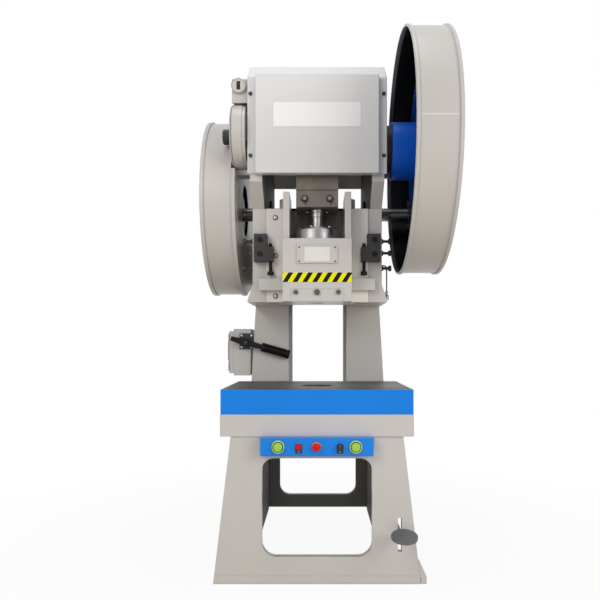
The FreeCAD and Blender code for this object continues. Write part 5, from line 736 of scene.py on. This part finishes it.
class PRESS_OT_slide_trim(bpy.types.Operator):
    """Rivets of the slide's plate, washers and pins of the rod's clamp bolts"""
    bl_idname = "press.slide_trim"
    bl_label = "Slide rivets and rod washers"

    def execute(self, context):
        inset, rivet = (0.012, 0.009), button(0.0042, 0.0022, 0.0014, 0.0008)
        spots = [(x, PLATE_LOW[1], z) for x, z in corner_spots(PLATE_LOW[::2], PLATE_HIGH[::2], inset)]
        make("plate_rivets", lathes(rivet, spots, FRONT, 24), "black_steel", "fastener", "ram")
        washer = hoop(0, 0.0028, 0.0090, 0.0172, 0.0006)
        face = hoop(0, 0.0008, 0.0086, 0.0128)
        pin, pin_right, pin_down = button(0.0056, 0.0040, 0.0016, 0.0010), 0.003, 0.0215
        for side, name in SIDES:
            x, z = side * ROD_BOLT_X, ROD_BOLT_Z
            make(f"rod_bolt_washer_{name}", lathe(washer, (x, CAP_FRONT, z), FRONT, 48), "machined_steel",
                 "dark_steel")
            make(f"rod_bolt_ring_{name}", lathe(face, (x, ROD_BOLT_FRONT, z), FRONT, 48), "black_steel",
                 "dark_steel")
            make(f"rod_bolt_pin_{name}", lathe(pin, (x + pin_right, CAP_FRONT, z - pin_down), FRONT, 24),
                 "bright_steel", "fastener")
        return {"FINISHED"}


class PRESS_OT_screw_collar(bpy.types.Operator):
    """Wide collar at the head of the ball screw"""
    bl_idname = "press.screw_collar"
    bl_label = "Screw collar"

    def execute(self, context):
        low, high = CAP_UNDER - 0.0190, CAP_UNDER - 0.0010
        inner, outer, chamfer = 0.0262, 0.0345, 0.0012
        rows = [(low, inner), (low, outer - chamfer), (low + chamfer, outer), (high - chamfer, outer),
                (high, outer - chamfer), (high, inner), (low, inner)]
        make("screw_collar", lathe(rows, (0, CRANK_Y, 0), UP), "machined_steel", "satin", "ram")
        return {"FINISHED"}


class PRESS_OT_gib_washers(bpy.types.Operator):
    """Bolt heads and washers of the left gib, and dark seats round the bolts of the stop brackets"""
    bl_idname = "press.gib_washers"
    bl_label = "Gib and bracket washers"

    def execute(self, context):
        washer = [(0, 0.0090), (0, 0.0130), (0.0016, 0.0130), (0.0022, 0.0122), (0.0022, 0.0094), (0, 0.0090)]
        head, proud = [(0, 0)] + button(0.0090, 0.0030, 0.0008, 0.0010), 0.0016
        spots = np.array([(GIB_BOLT_X, GIB_FRONT - 0.0001, z) for z in GIB_BOLT_ROWS])
        # Washers of dark oiled steel, dark also as painted shade round each bright head.
        make("gib_washers", lathes(washer, spots, FRONT, 48), "machined_steel", "fastener")
        make("gib_bolt_faces", lathes(head, spots - (0, proud, 0), FRONT, 40), "bright_steel", "white_metal")
        seat = hoop(0, 0.0016, 0.0068, 0.0128, 0.0006)
        for side, name in SIDES:
            spots = [(side * STOP_BOLT_X, BRACKET_FRONT, z) for z in STOP_BOLT_ROWS]
            make(f"stop_bolt_seats_{name}", lathes(seat, spots, FRONT, 48), "black_steel", "anodised")
        return {"FINISHED"}


def button_place(node):
    """Middle of a push button on the panel's face, its radius and its reach."""
    low, high = box(node)
    centre = ((low[0] + high[0]) / 2, PANEL_FRONT, (low[2] + high[2]) / 2)
    return centre, (high[0] - low[0]) / 2, PANEL_FRONT - low[1]


def push_button(name, node, rows, under, slot, finish, body, segments=72, **options):
    """Button of a body, in place of a CAD node: a stem from inside the panel up to the cap's rows."""
    centre, outer, _ = button_place(node)
    stem = outer * STEM_SHARE
    rows = [(-STEM_DEPTH, 0), (-STEM_DEPTH, stem), (under, stem)] + rows
    piece = make(name, lathe(rows, centre, FRONT, segments), slot, finish, body, **options)
    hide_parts(node)


def flat_cap(radius, height, rim):
    """Rows of a flat round cap that starts at the gap over the panel."""
    return [(BUTTON_GAP, radius)] + button(radius, height, 0.0, rim)[1:]


def collar(name, centre, inner, outer, height, slot, finish):
    """Fixed ring round a button: a flat foot, an upright side and a rounded lip."""
    lip = min(0.0012, (outer - inner) / 3)
    rows = [(0, inner), (0, outer), (height - lip, outer), (height, outer - lip), (height, inner + lip),
            (height - lip, inner), (0, inner)]
    make(name, lathe(rows, centre, FRONT, 72), slot, finish)


class PRESS_OT_palm_buttons(bpy.types.Operator):
    """Two palm buttons: a lime cap that moves in a pale collar, in place of each plain disc"""
    bl_idname = "press.palm_buttons"
    bl_label = "Palm buttons"

    def execute(self, context):
        for _, side in SIDES:
            node = f"palm_button_{side}"
            centre, outer, height = button_place(node)
            push_button(f"palm_cap_{side}", node, flat_cap(outer * 0.70, height, 0.0035), BUTTON_GAP,
                        "green_plastic", "green", f"palm_{side}")
            collar(f"palm_collar_{side}", centre, outer * 0.84, outer * 0.985, height * 0.66,
                   "green_plastic", "pale_green")
            collar(f"palm_well_{side}", centre, outer * 0.53, outer * 0.85, 0.0014, "black_plastic",
                   "black_plastic")
        return {"FINISHED"}


class PRESS_OT_stop_and_start(bpy.types.Operator):
    """Stop mushroom with its amber collar, start button and selector, each on its dark plate"""
    bl_idname = "press.stop_and_start"
    bl_label = "Stop, start and selector"

    def execute(self, context):
        centre, outer, height = button_place("emergency_stop")
        # Crown of the mushroom: a quarter ellipse from its brim to its pole. All but the stem is red.
        brim, under, segments = outer * 0.93, height * 0.55, 72
        crown = quarter(under, 0, height - under, brim, 8)
        push_button("stop_mushroom", "emergency_stop", [(under + 0.0003, brim * 0.96)] + crown[:-1]
                    + [(height, 0)], under, "red_plastic", "black_plastic", "stop", segments,
                    second=("red", 2 * segments))
        collar("stop_collar", centre, outer * 0.55, outer, 0.0060, "red_plastic", "yellow")

        centre, outer, height = button_place("start_button")
        push_button("start_cap", "start_button", flat_cap(outer * 0.78, height, 0.002), BUTTON_GAP,
                    "red_plastic", "red", "start", 56)
        collar("start_collar", centre, outer * 0.82, outer, 0.0070, "red_plastic", "red")

        # Dark plates, longer below, where each has its screw.
        half, below, above, front = 0.0152, 0.0290, 0.0115, PANEL_FRONT - 0.0022
        screw, screw_down = button(0.0032, 0.0012, 0.0005, 0.0006), 0.0220
        for name, node in (("start_plate", "start_button"), ("selector_plate", "selector_switch")):
            (x, _, z), _, _ = button_place(node)
            slab(name, (x - half, z - below), (x + half, z + above), (front, PANEL_FRONT), "y",
                 "black_plastic", "black_plastic", radius=0.003, edge=0.0005)
            make(name + "_screw", lathe(screw, (x, front, z - screw_down), FRONT, 20), "bright_steel",
                 "steel_z")
        (left, face, _), (right, _, top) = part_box("selector_switch")
        x, half = (left + right) / 2, 0.0010
        slab("selector_mark", (x - half, top - 0.0120), (x + half, top - 0.0030),
             (face - 0.0003, face + 0.0004), "y", "black_plastic", "steel_z", "selector", radius=0.0008,
             edge=0.0001)
        return {"FINISHED"}


class PRESS_OT_lamp(bpy.types.Operator):
    """Ribbed lamp head with its lens, and the screws of the lamp's bracket"""
    bl_idname = "press.lamp"
    bl_label = "Work lamp"

    def execute(self, context):
        trim = context.scene.press_trim
        along = np.array((math.cos(trim.lamp_lean), 0, -math.sin(trim.lamp_lean)))
        start, length, outer = 0.0803, trim.lamp_length, trim.lamp_diameter / 2
        ribs, first, pitch, segments = 9, 0.030, 0.0135, 72
        root, tail = outer - 0.0035, first + ribs * pitch
        # A tapered neck, the ribs with their grooves, a plain band and the lens.
        rows = [(0, 0), (0, 0.0135), (0.006, 0.0140), (0.010, outer - 0.004), (0.013, outer - 0.001),
                (0.016, outer), (first - 0.004, outer), (first - 0.003, root)]
        for here in first + np.arange(ribs) * pitch:
            rows += [(here, root), (here + 0.0012, outer), (here + 0.0072, outer), (here + 0.0084, root)]
        rows += [(tail, root), (tail + 0.001, outer), (length - 0.003, outer), (length, outer - 0.003),
                 (length, outer - 0.005), (length - 0.004, outer - 0.006), (length - 0.005, 0)]
        head = make("lamp_lantern_ribbed", lathe(rows, LAMP_PIVOT + start * along, along, segments),
                    "lamp_black", "anodised", "lamp_lantern", second=("lens", (len(rows) - 2) * segments))
        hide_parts("lamp_head")
        low, high = box("lamp_bracket")
        screw = button(0.0062, 0.0030, 0.0012, 0.0010)
        spots = [(x, LAMP_PLATE_FRONT, z) for x, z in corner_spots(low[::2], high[::2], 0.011)]
        make("lamp_screws", lathes(screw, spots, FRONT, 24), "bright_steel", "white_mark")
        washer = [(0, 0.0112), (0, 0.0155), (0.0016, 0.0165), (0.0030, 0.0155), (0.0030, 0.0112), (0, 0.0112)]
        face = np.add(LAMP_PIVOT, (0, -0.0082, 0))
        make("lamp_pivot_washer", lathe(washer, face, FRONT, 40), "black_steel", "anodised", "lamp_link")
        return {"FINISHED"}


class PRESS_OT_cabinet(bpy.types.Operator):
    """Latch bar, lock, raised field and hinge knuckles of the switch cabinet's door"""
    bl_idname = "press.cabinet"
    bl_label = "Cabinet trim"

    def execute(self, context):
        low, high = box("cabinet_door")
        (face, front, foot), (_, rear, top) = low, high
        latch_low, latch_high, lock_level, sunk = 0.982, 1.084, 1.030, 0.0005
        slab("door_latch", (front + 0.020, latch_low), (front + 0.034, latch_high),
             (face - 0.0050, face + sunk), "x", "black_steel", "fastener", "door", radius=0.004,
             edge=0.0010)
        lock = [(0, 0.0110), (0.0016, 0.0110), (0.0026, 0.0100), (0.0026, 0.0040), (0.0010, 0.0040),
                (0.0010, 0)]
        make("door_lock", lathe(lock, (face - 0.0002, front + 0.060, lock_level), LEFT, 48),
             "bright_steel", "chrome", "door")
        inset = 0.012
        slab("door_field", (front + inset, foot + inset), (rear - inset, top - inset),
             (face - 0.0012, face + sunk), "x", "paint_grey", "paint", "door", radius=0.006,
             edge=0.0010)
        # Three knuckles of one height, up the edge where the door turns.
        tall, hinge_x, hinge_y = 0.036, -0.466, rear + 0.0035
        levels = (foot + 0.030, (foot + top - tall) / 2, top - tall - 0.030)
        make("door_hinges", lathes(button(0.0050, tall, 0.0004, 0.0010),
                                   [(hinge_x, hinge_y, z) for z in levels], UP, 24),
             "black_steel", "dark_steel")
        return {"FINISHED"}


class PRESS_OT_motor(bpy.types.Operator):
    """Cooling fins, fan cowl, grille and terminal lid of the motor"""
    bl_idname = "press.motor"
    bl_label = "Motor fins and cowl"

    def execute(self, context):
        low, high = box("motor")
        near, far, top, middle = low[0], high[0], high[2], (MOTOR_Y, MOTOR_Z)
        # Each fin's outline: root, tip, tip, root, at angles of its own share of the turn.
        fins, root, wall = 40, MOTOR_RADIUS - 0.0012, MOTOR_RADIUS + 0.0075
        turn = (np.arange(fins)[:, None] + np.array((0.0, 0.05, 0.27, 0.32))) * 2 * math.pi / fins
        reach = np.array((root, wall, wall, root))[:, None]
        outlines = middle + reach * np.stack([np.cos(turn), np.sin(turn)], axis=-1)
        span = (near + 0.030, far - 0.076)
        make("motor_fins", merged(prism(outline, span, "x") for outline in outlines), "paint_grey", "paint")
        # Cowl seen in section: a straight skirt, a quarter-round shoulder and a flat back with a hole.
        start, end, bend, hole, sheet = far - 0.0730, far - 0.0015, 0.014, 0.030, 0.002
        cowl = [(start, wall - 0.009), (start, wall), *quarter(end - bend, wall - bend, bend, bend, 7),
                (end, hole), (end - sheet, hole), (end - sheet, wall - 0.009), (start, wall - 0.009)]
        make("motor_cowl", lathe(cowl, (0, *middle), RIGHT, 80), "paint_grey", "paint")
        rings = [lathe(hoop(0, 0.0016, radius, radius + 0.0045), (end - 0.0004, *middle), RIGHT, 64)
                 for radius in np.arange(0.034, 0.110, 0.0135)]
        make("motor_grille", merged(rings), "black_paint", "black_paint")
        half, lid_top = 0.053, top + 0.004
        lid_low, lid_high = (near + 0.087, MOTOR_Y - half), (near + 0.203, MOTOR_Y + half)
        slab("terminal_lid", lid_low, lid_high, (top - 0.002, lid_top), "z", "paint_grey", "paint",
             radius=0.006, edge=0.0015)
        spots = [(x, y, lid_top) for x, y in corner_spots(lid_low, lid_high, 0.010)]
        make("terminal_screws", lathes(button(0.0040, 0.0030, 0.0004, 0.0006), spots, UP, 20),
             "bright_steel", "fastener")
        return {"FINISHED"}


class PRESS_OT_guards(bpy.types.Operator):
    """Butt weld across the gear guard's front, and the screwed caps on both guards' outer faces"""
    bl_idname = "press.guards"
    bl_label = "Guard seam and caps"

    def execute(self, context):
        low, high = box("gear_guard")
        # Crown of the weld: depth 0.0026 * (1 - t ** 2) over its width, carried along X.
        face, middle, half = low[1] + 0.007, (low[2] + high[2]) / 2, 0.0045
        across = np.linspace(-1, 1, 9)
        crown = np.stack([face + 0.0014 - 0.0026 * (1 - across ** 2), middle + half * across], axis=-1)
        outline = [*crown, (face + 0.003, middle + half), (face + 0.003, middle - half)]
        # Its enamel is paler than the guard's: a painted highlight along the weld's crown.
        make("gear_guard_seam", prism(outline, (low[0] + 0.020, high[0] - 0.020), "x"), "paint_grey", "seam",
             sharp=50)
        # Cap: flat disc with a rounded rim; its screws stand on a circle inside the rim.
        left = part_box("flywheel_guard")[0][0]
        caps = (("gear_guard_cap", 1, high[0], GEAR_GUARD[0], 0.105),
                ("flywheel_guard_cap", -1, left, FLYWHEEL[0], 0.095),
                ("pulley_guard_cap", -1, left, (MOTOR_Y, MOTOR_Z), 0.060))
        sunk, rim_gap, screw_lift = 0.0005, 0.016, 0.0030
        screw, turn = button(0.0062, 0.0060, 0.0006, 0.0010), np.arange(6) * math.pi / 3 + 0.3
        for name, side, x, (y, z), radius in caps:
            rows = [(-sunk, 0), (-sunk, radius)] + button(radius, 0.0045, 0.0, 0.0020)[1:]
            make(name, lathe(rows, (x, y, z), (side, 0, 0)), "paint_grey", "paint")
            reach = radius - rim_gap
            spots = [(x + side * screw_lift, y + reach * math.cos(a), z + reach * math.sin(a)) for a in turn]
            make(name + "_screws", lathes(screw, spots, (side, 0, 0), 6), "machined_steel", "fastener")
        return {"FINISHED"}


class PRESS_OT_brake(bpy.types.Operator):
    """Black block for painted shade in the brake's spring cup, the cup's rim, a black band for painted shade
    in the drum's groove, and the cap on the shaft's end
    """
    bl_idname = "press.brake"
    bl_label = "Brake trim"

    def execute(self, context):
        face, (x, z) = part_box("brake_bracket")[0][1], BRAKE_CUP
        half_x, half_z = 0.0086, 0.0196
        # A black block in the cup's slot stands in for the shade in it: painted shade.
        slab("spring_well", (x - half_x, z - half_z), (x + half_x, z + half_z),
             (face + 0.0012, face + 0.017), "y", "black_paint", "belt", radius=0.0060, edge=0.0003)
        eye = [(0, 0), (0, 0.0062), (0.0030, 0.0062), (0.0044, 0.0048), (0.0044, 0)]
        make("spring_eye", lathe(eye, (x, face + 0.0030, z + 0.006), FRONT, 32), "black_steel", "dark_steel")
        rim = [(-0.001, 0.0312), (0.0018, 0.0316), (0.0028, 0.0330), (0.0018, 0.0346), (-0.001, 0.0350),
               (-0.001, 0.0312)]
        make("spring_cup_rim", lathe(rim, (x, face, z), FRONT, 64), "paint_grey", "paint")
        low, high = box("brake_drum")
        reach, level, width = (high[2] - low[2]) / 2, (high[2] + low[2]) / 2, 0.0011
        # A thin black band round the drum near its left edge stands in for the shade of a groove: painted
        # shade.
        groove = hoop(-width, width, reach - 0.001, reach + 0.0003)
        make("drum_groove", lathe(groove, (low[0] + 0.0075, CRANK_Y, level), RIGHT, 128), "black_paint",
             "black_paint")
        # Shaft cap: a round block with a rolled edge and a shallow dish in its end.
        cap_low, cap_high = box("shaft_end_cap")
        outer, back = (cap_high[2] - cap_low[2]) / 2, low[0] + 0.0005
        end = back - cap_low[0] + 0.014
        rows = [(0, 0), (0, outer), (end - 0.006, outer), (end - 0.001, outer - 0.004), (end, outer - 0.007),
                (end - 0.0012, outer - 0.009), (end - 0.0012, 0)]
        cap = make("shaft_cap", lathe(rows, (back, CRANK_Y, level), LEFT, 80), "black_paint", "black_paint")
        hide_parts("shaft_end_cap")
        return {"FINISHED"}


class PRESS_OT_lubrication(bpy.types.Operator):
    """Grease pipe and fitting on the right of the frame"""
    bl_idname = "press.lubrication"
    bl_label = "Grease pipe"

    def execute(self, context):
        trim = context.scene.press_trim
        x, y, low, high = trim.pipe_x, trim.pipe_y, trim.pipe_low, trim.pipe_high
        # Straight up, an elbow in the XZ plane by a quarter circle, and into the frame.
        bend, radius = 0.014, 0.0032
        elbow = [(right, y, up) for up, right in quarter(high - bend, x - bend, bend, bend, 7)]
        route = [(x, y, low), (x, y, (low + high) / 2), *elbow, (x - bend - 0.012, y, high)]
        make("grease_pipe", tube(route, radius), "black_steel", "dark_steel")
        block = [(0, 0), (0, 0.0105), (0.002, 0.0125), (0.020, 0.0125), (0.022, 0.0105), (0.024, 0.0085),
                 (0.040, 0.0085), (0.042, 0.0065), (0.046, 0.0055), (0.046, 0)]
        make("grease_fitting", lathe(block, (x, y, low - 0.040), UP, 6), "machined_steel", "steel_z",
             sharp=20)
        slab("grease_foot", (y - 0.012, low - 0.036), (y + 0.012, low - 0.008), (x - 0.026, x - 0.006),
             "x", "paint_grey", "paint", radius=0.003, edge=0.001)
        return {"FINISHED"}


class PRESS_OT_base(bpy.types.Operator):
    """Sole strip along the foot of the front plate, and weld beads where the columns meet the table"""
    bl_idname = "press.base"
    bl_label = "Sole and welds"

    def execute(self, context):
        trim = context.scene.press_trim
        low, high = box("base_front_plate")
        top, lean = trim.sole_height, trim.base_slope * trim.sole_height
        outline = [(low[0], 0.0), (high[0], 0.0), (high[0] - lean, top), (low[0] + lean, top)]
        span = (low[1] - 0.0028, low[1] + 0.0005)
        bevel(make("base_sole", prism(outline, span, "y"), "paint_grey", "paint"), 0.0022, 3)
        # Fillet of a weld bead: its face bulges between the two legs.
        table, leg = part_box("table_plate")[1][2], 0.007
        corner = [(0, 0)] + quarter(0, 0, leg, leg, 5)
        beads = [prism([(side * (COLUMN_INNER - across), table + up) for up, across in corner],
                       COLUMN_SPAN, "y") for side, _ in SIDES]
        make("column_welds", merged(beads), "paint_grey", "paint")
        return {"FINISHED"}


# ---------------------------------------------------------------- studio

class PRESS_OT_studio(bpy.types.Operator):
    """Camera at the photograph's angle, pale floor and soft light"""
    bl_idname = "press.studio"
    bl_label = "Studio"

    def execute(self, context):
        scene, settings = context.scene, context.scene.press_stage
        scene.view_settings.view_transform = "Standard"
        self.camera(scene, settings)
        self.floor(scene, settings)
        self.world(scene, settings)
        self.lights(scene, settings)
        return {"FINISHED"}

    def camera(self, scene, settings):
        data = bpy.data.cameras.new("press_camera")
        data.lens = settings.lens
        data.sensor_width = SENSOR
        data.shift_x, data.shift_y = SHIFT_X, SHIFT_Y
        data.clip_end = 100
        camera = bpy.data.objects.new("press_camera", data)
        scene.collection.objects.link(camera)
        camera.location = settings.eye
        camera.rotation_euler = (math.pi / 2, 0, 0)
        scene.camera = camera

    def show(self, n, lit, white, share=None):
        """Plain white, or a share of it, for camera, glossy and transmission rays, and a lit shader else."""
        path = n.add("LightPath").outputs
        seen = n.math("MAXIMUM", *(path[f"Is {ray} Ray"] for ray in ("Camera", "Glossy", "Transmission")))
        if share is not None:
            seen = n.math("MULTIPLY", seen, share)
        mix = n.add("MixShader", {0: seen, 1: lit.outputs[0], 2: white.outputs[0]})
        n.fill(n.end, {"Surface": mix.outputs[0]})

    def floor(self, scene, settings):
        size, material = settings.floor_size, bpy.data.materials.new("studio_floor")
        mesh = bpy.data.meshes.new("studio_floor")
        mesh.from_pydata([(-size, -size, 0), (size, -size, 0), (size, size, 0), (-size, size, 0)], [],
                         [(0, 1, 2, 3)])
        mesh.materials.append(material)
        floor = bpy.data.objects.new("studio_floor", mesh)
        scene.collection.objects.link(floor)
        n = Nodes(material)
        place = n.add("TexCoord").outputs["Object"]
        reach = n.add("VectorMath", {0: place}, operation="LENGTH").outputs["Value"]
        share = n.ramp(reach, FLOOR_NEAR, FLOOR_FAR, settings.floor_glow, 1)
        self.show(n, n.add("BsdfDiffuse", {"Color": FLOOR_TINT}), n.add("Emission", {"Color": WHITE}), share)

    def world(self, scene, settings):
        scene.world = bpy.data.worlds.new("studio_world")
        n = Nodes(scene.world, "OutputWorld")
        self.show(n, *(n.add("Background", {"Color": WHITE, "Strength": strength})
                       for strength in (settings.sky, 1.0)))

    def lights(self, scene, settings):
        for name, (place, target, size) in LIGHTS.items():
            data = bpy.data.lights.new(name + "_light", "AREA")
            data.energy = getattr(settings, name)
            data.size = size
            light = bpy.data.objects.new(name + "_light", data)
            scene.collection.objects.link(light)
            light.location = place
            direction = Vector(target) - Vector(place)
            light.rotation_euler = direction.to_track_quat("-Z", "Y").to_euler()
            # The low light would show as a bright patch in the bolster's front.
            light.visible_glossy = name != "low"


# ---------------------------------------------------------------- panel and start

OPERATORS = (
    PRESS_OT_finishes, PRESS_OT_signs, PRESS_OT_slide_trim, PRESS_OT_screw_collar, PRESS_OT_gib_washers,
    PRESS_OT_palm_buttons, PRESS_OT_stop_and_start, PRESS_OT_lamp, PRESS_OT_cabinet, PRESS_OT_motor,
    PRESS_OT_guards, PRESS_OT_brake, PRESS_OT_lubrication, PRESS_OT_base, PRESS_OT_studio,
)


class PRESS_PT_panel(bpy.types.Panel):
    """Lists the steps that dress the press"""
    bl_label = "Stamping Press"
    bl_idname = "PRESS_PT_panel"
    bl_space_type = "VIEW_3D"
    bl_region_type = "UI"
    bl_category = "Press"

    def draw(self, context):
        for operator in OPERATORS:
            self.layout.operator(operator.bl_idname)


CLASSES = (FinishSettings, TrimSettings, StageSettings) + OPERATORS + (PRESS_PT_panel,)


def register():
    for kind in CLASSES:
        bpy.utils.register_class(kind)
    bpy.types.Scene.press_finish = bpy.props.PointerProperty(type=FinishSettings)
    bpy.types.Scene.press_trim = bpy.props.PointerProperty(type=TrimSettings)
    bpy.types.Scene.press_stage = bpy.props.PointerProperty(type=StageSettings)


def unregister():
    del bpy.types.Scene.press_stage
    del bpy.types.Scene.press_trim
    del bpy.types.Scene.press_finish
    for kind in reversed(CLASSES):
        bpy.utils.unregister_class(kind)


def main():
    register()
    for operator in OPERATORS:
        group, name = operator.bl_idname.split(".")
        getattr(getattr(bpy.ops, group), name)()


if __name__ == "__main__":
    main()
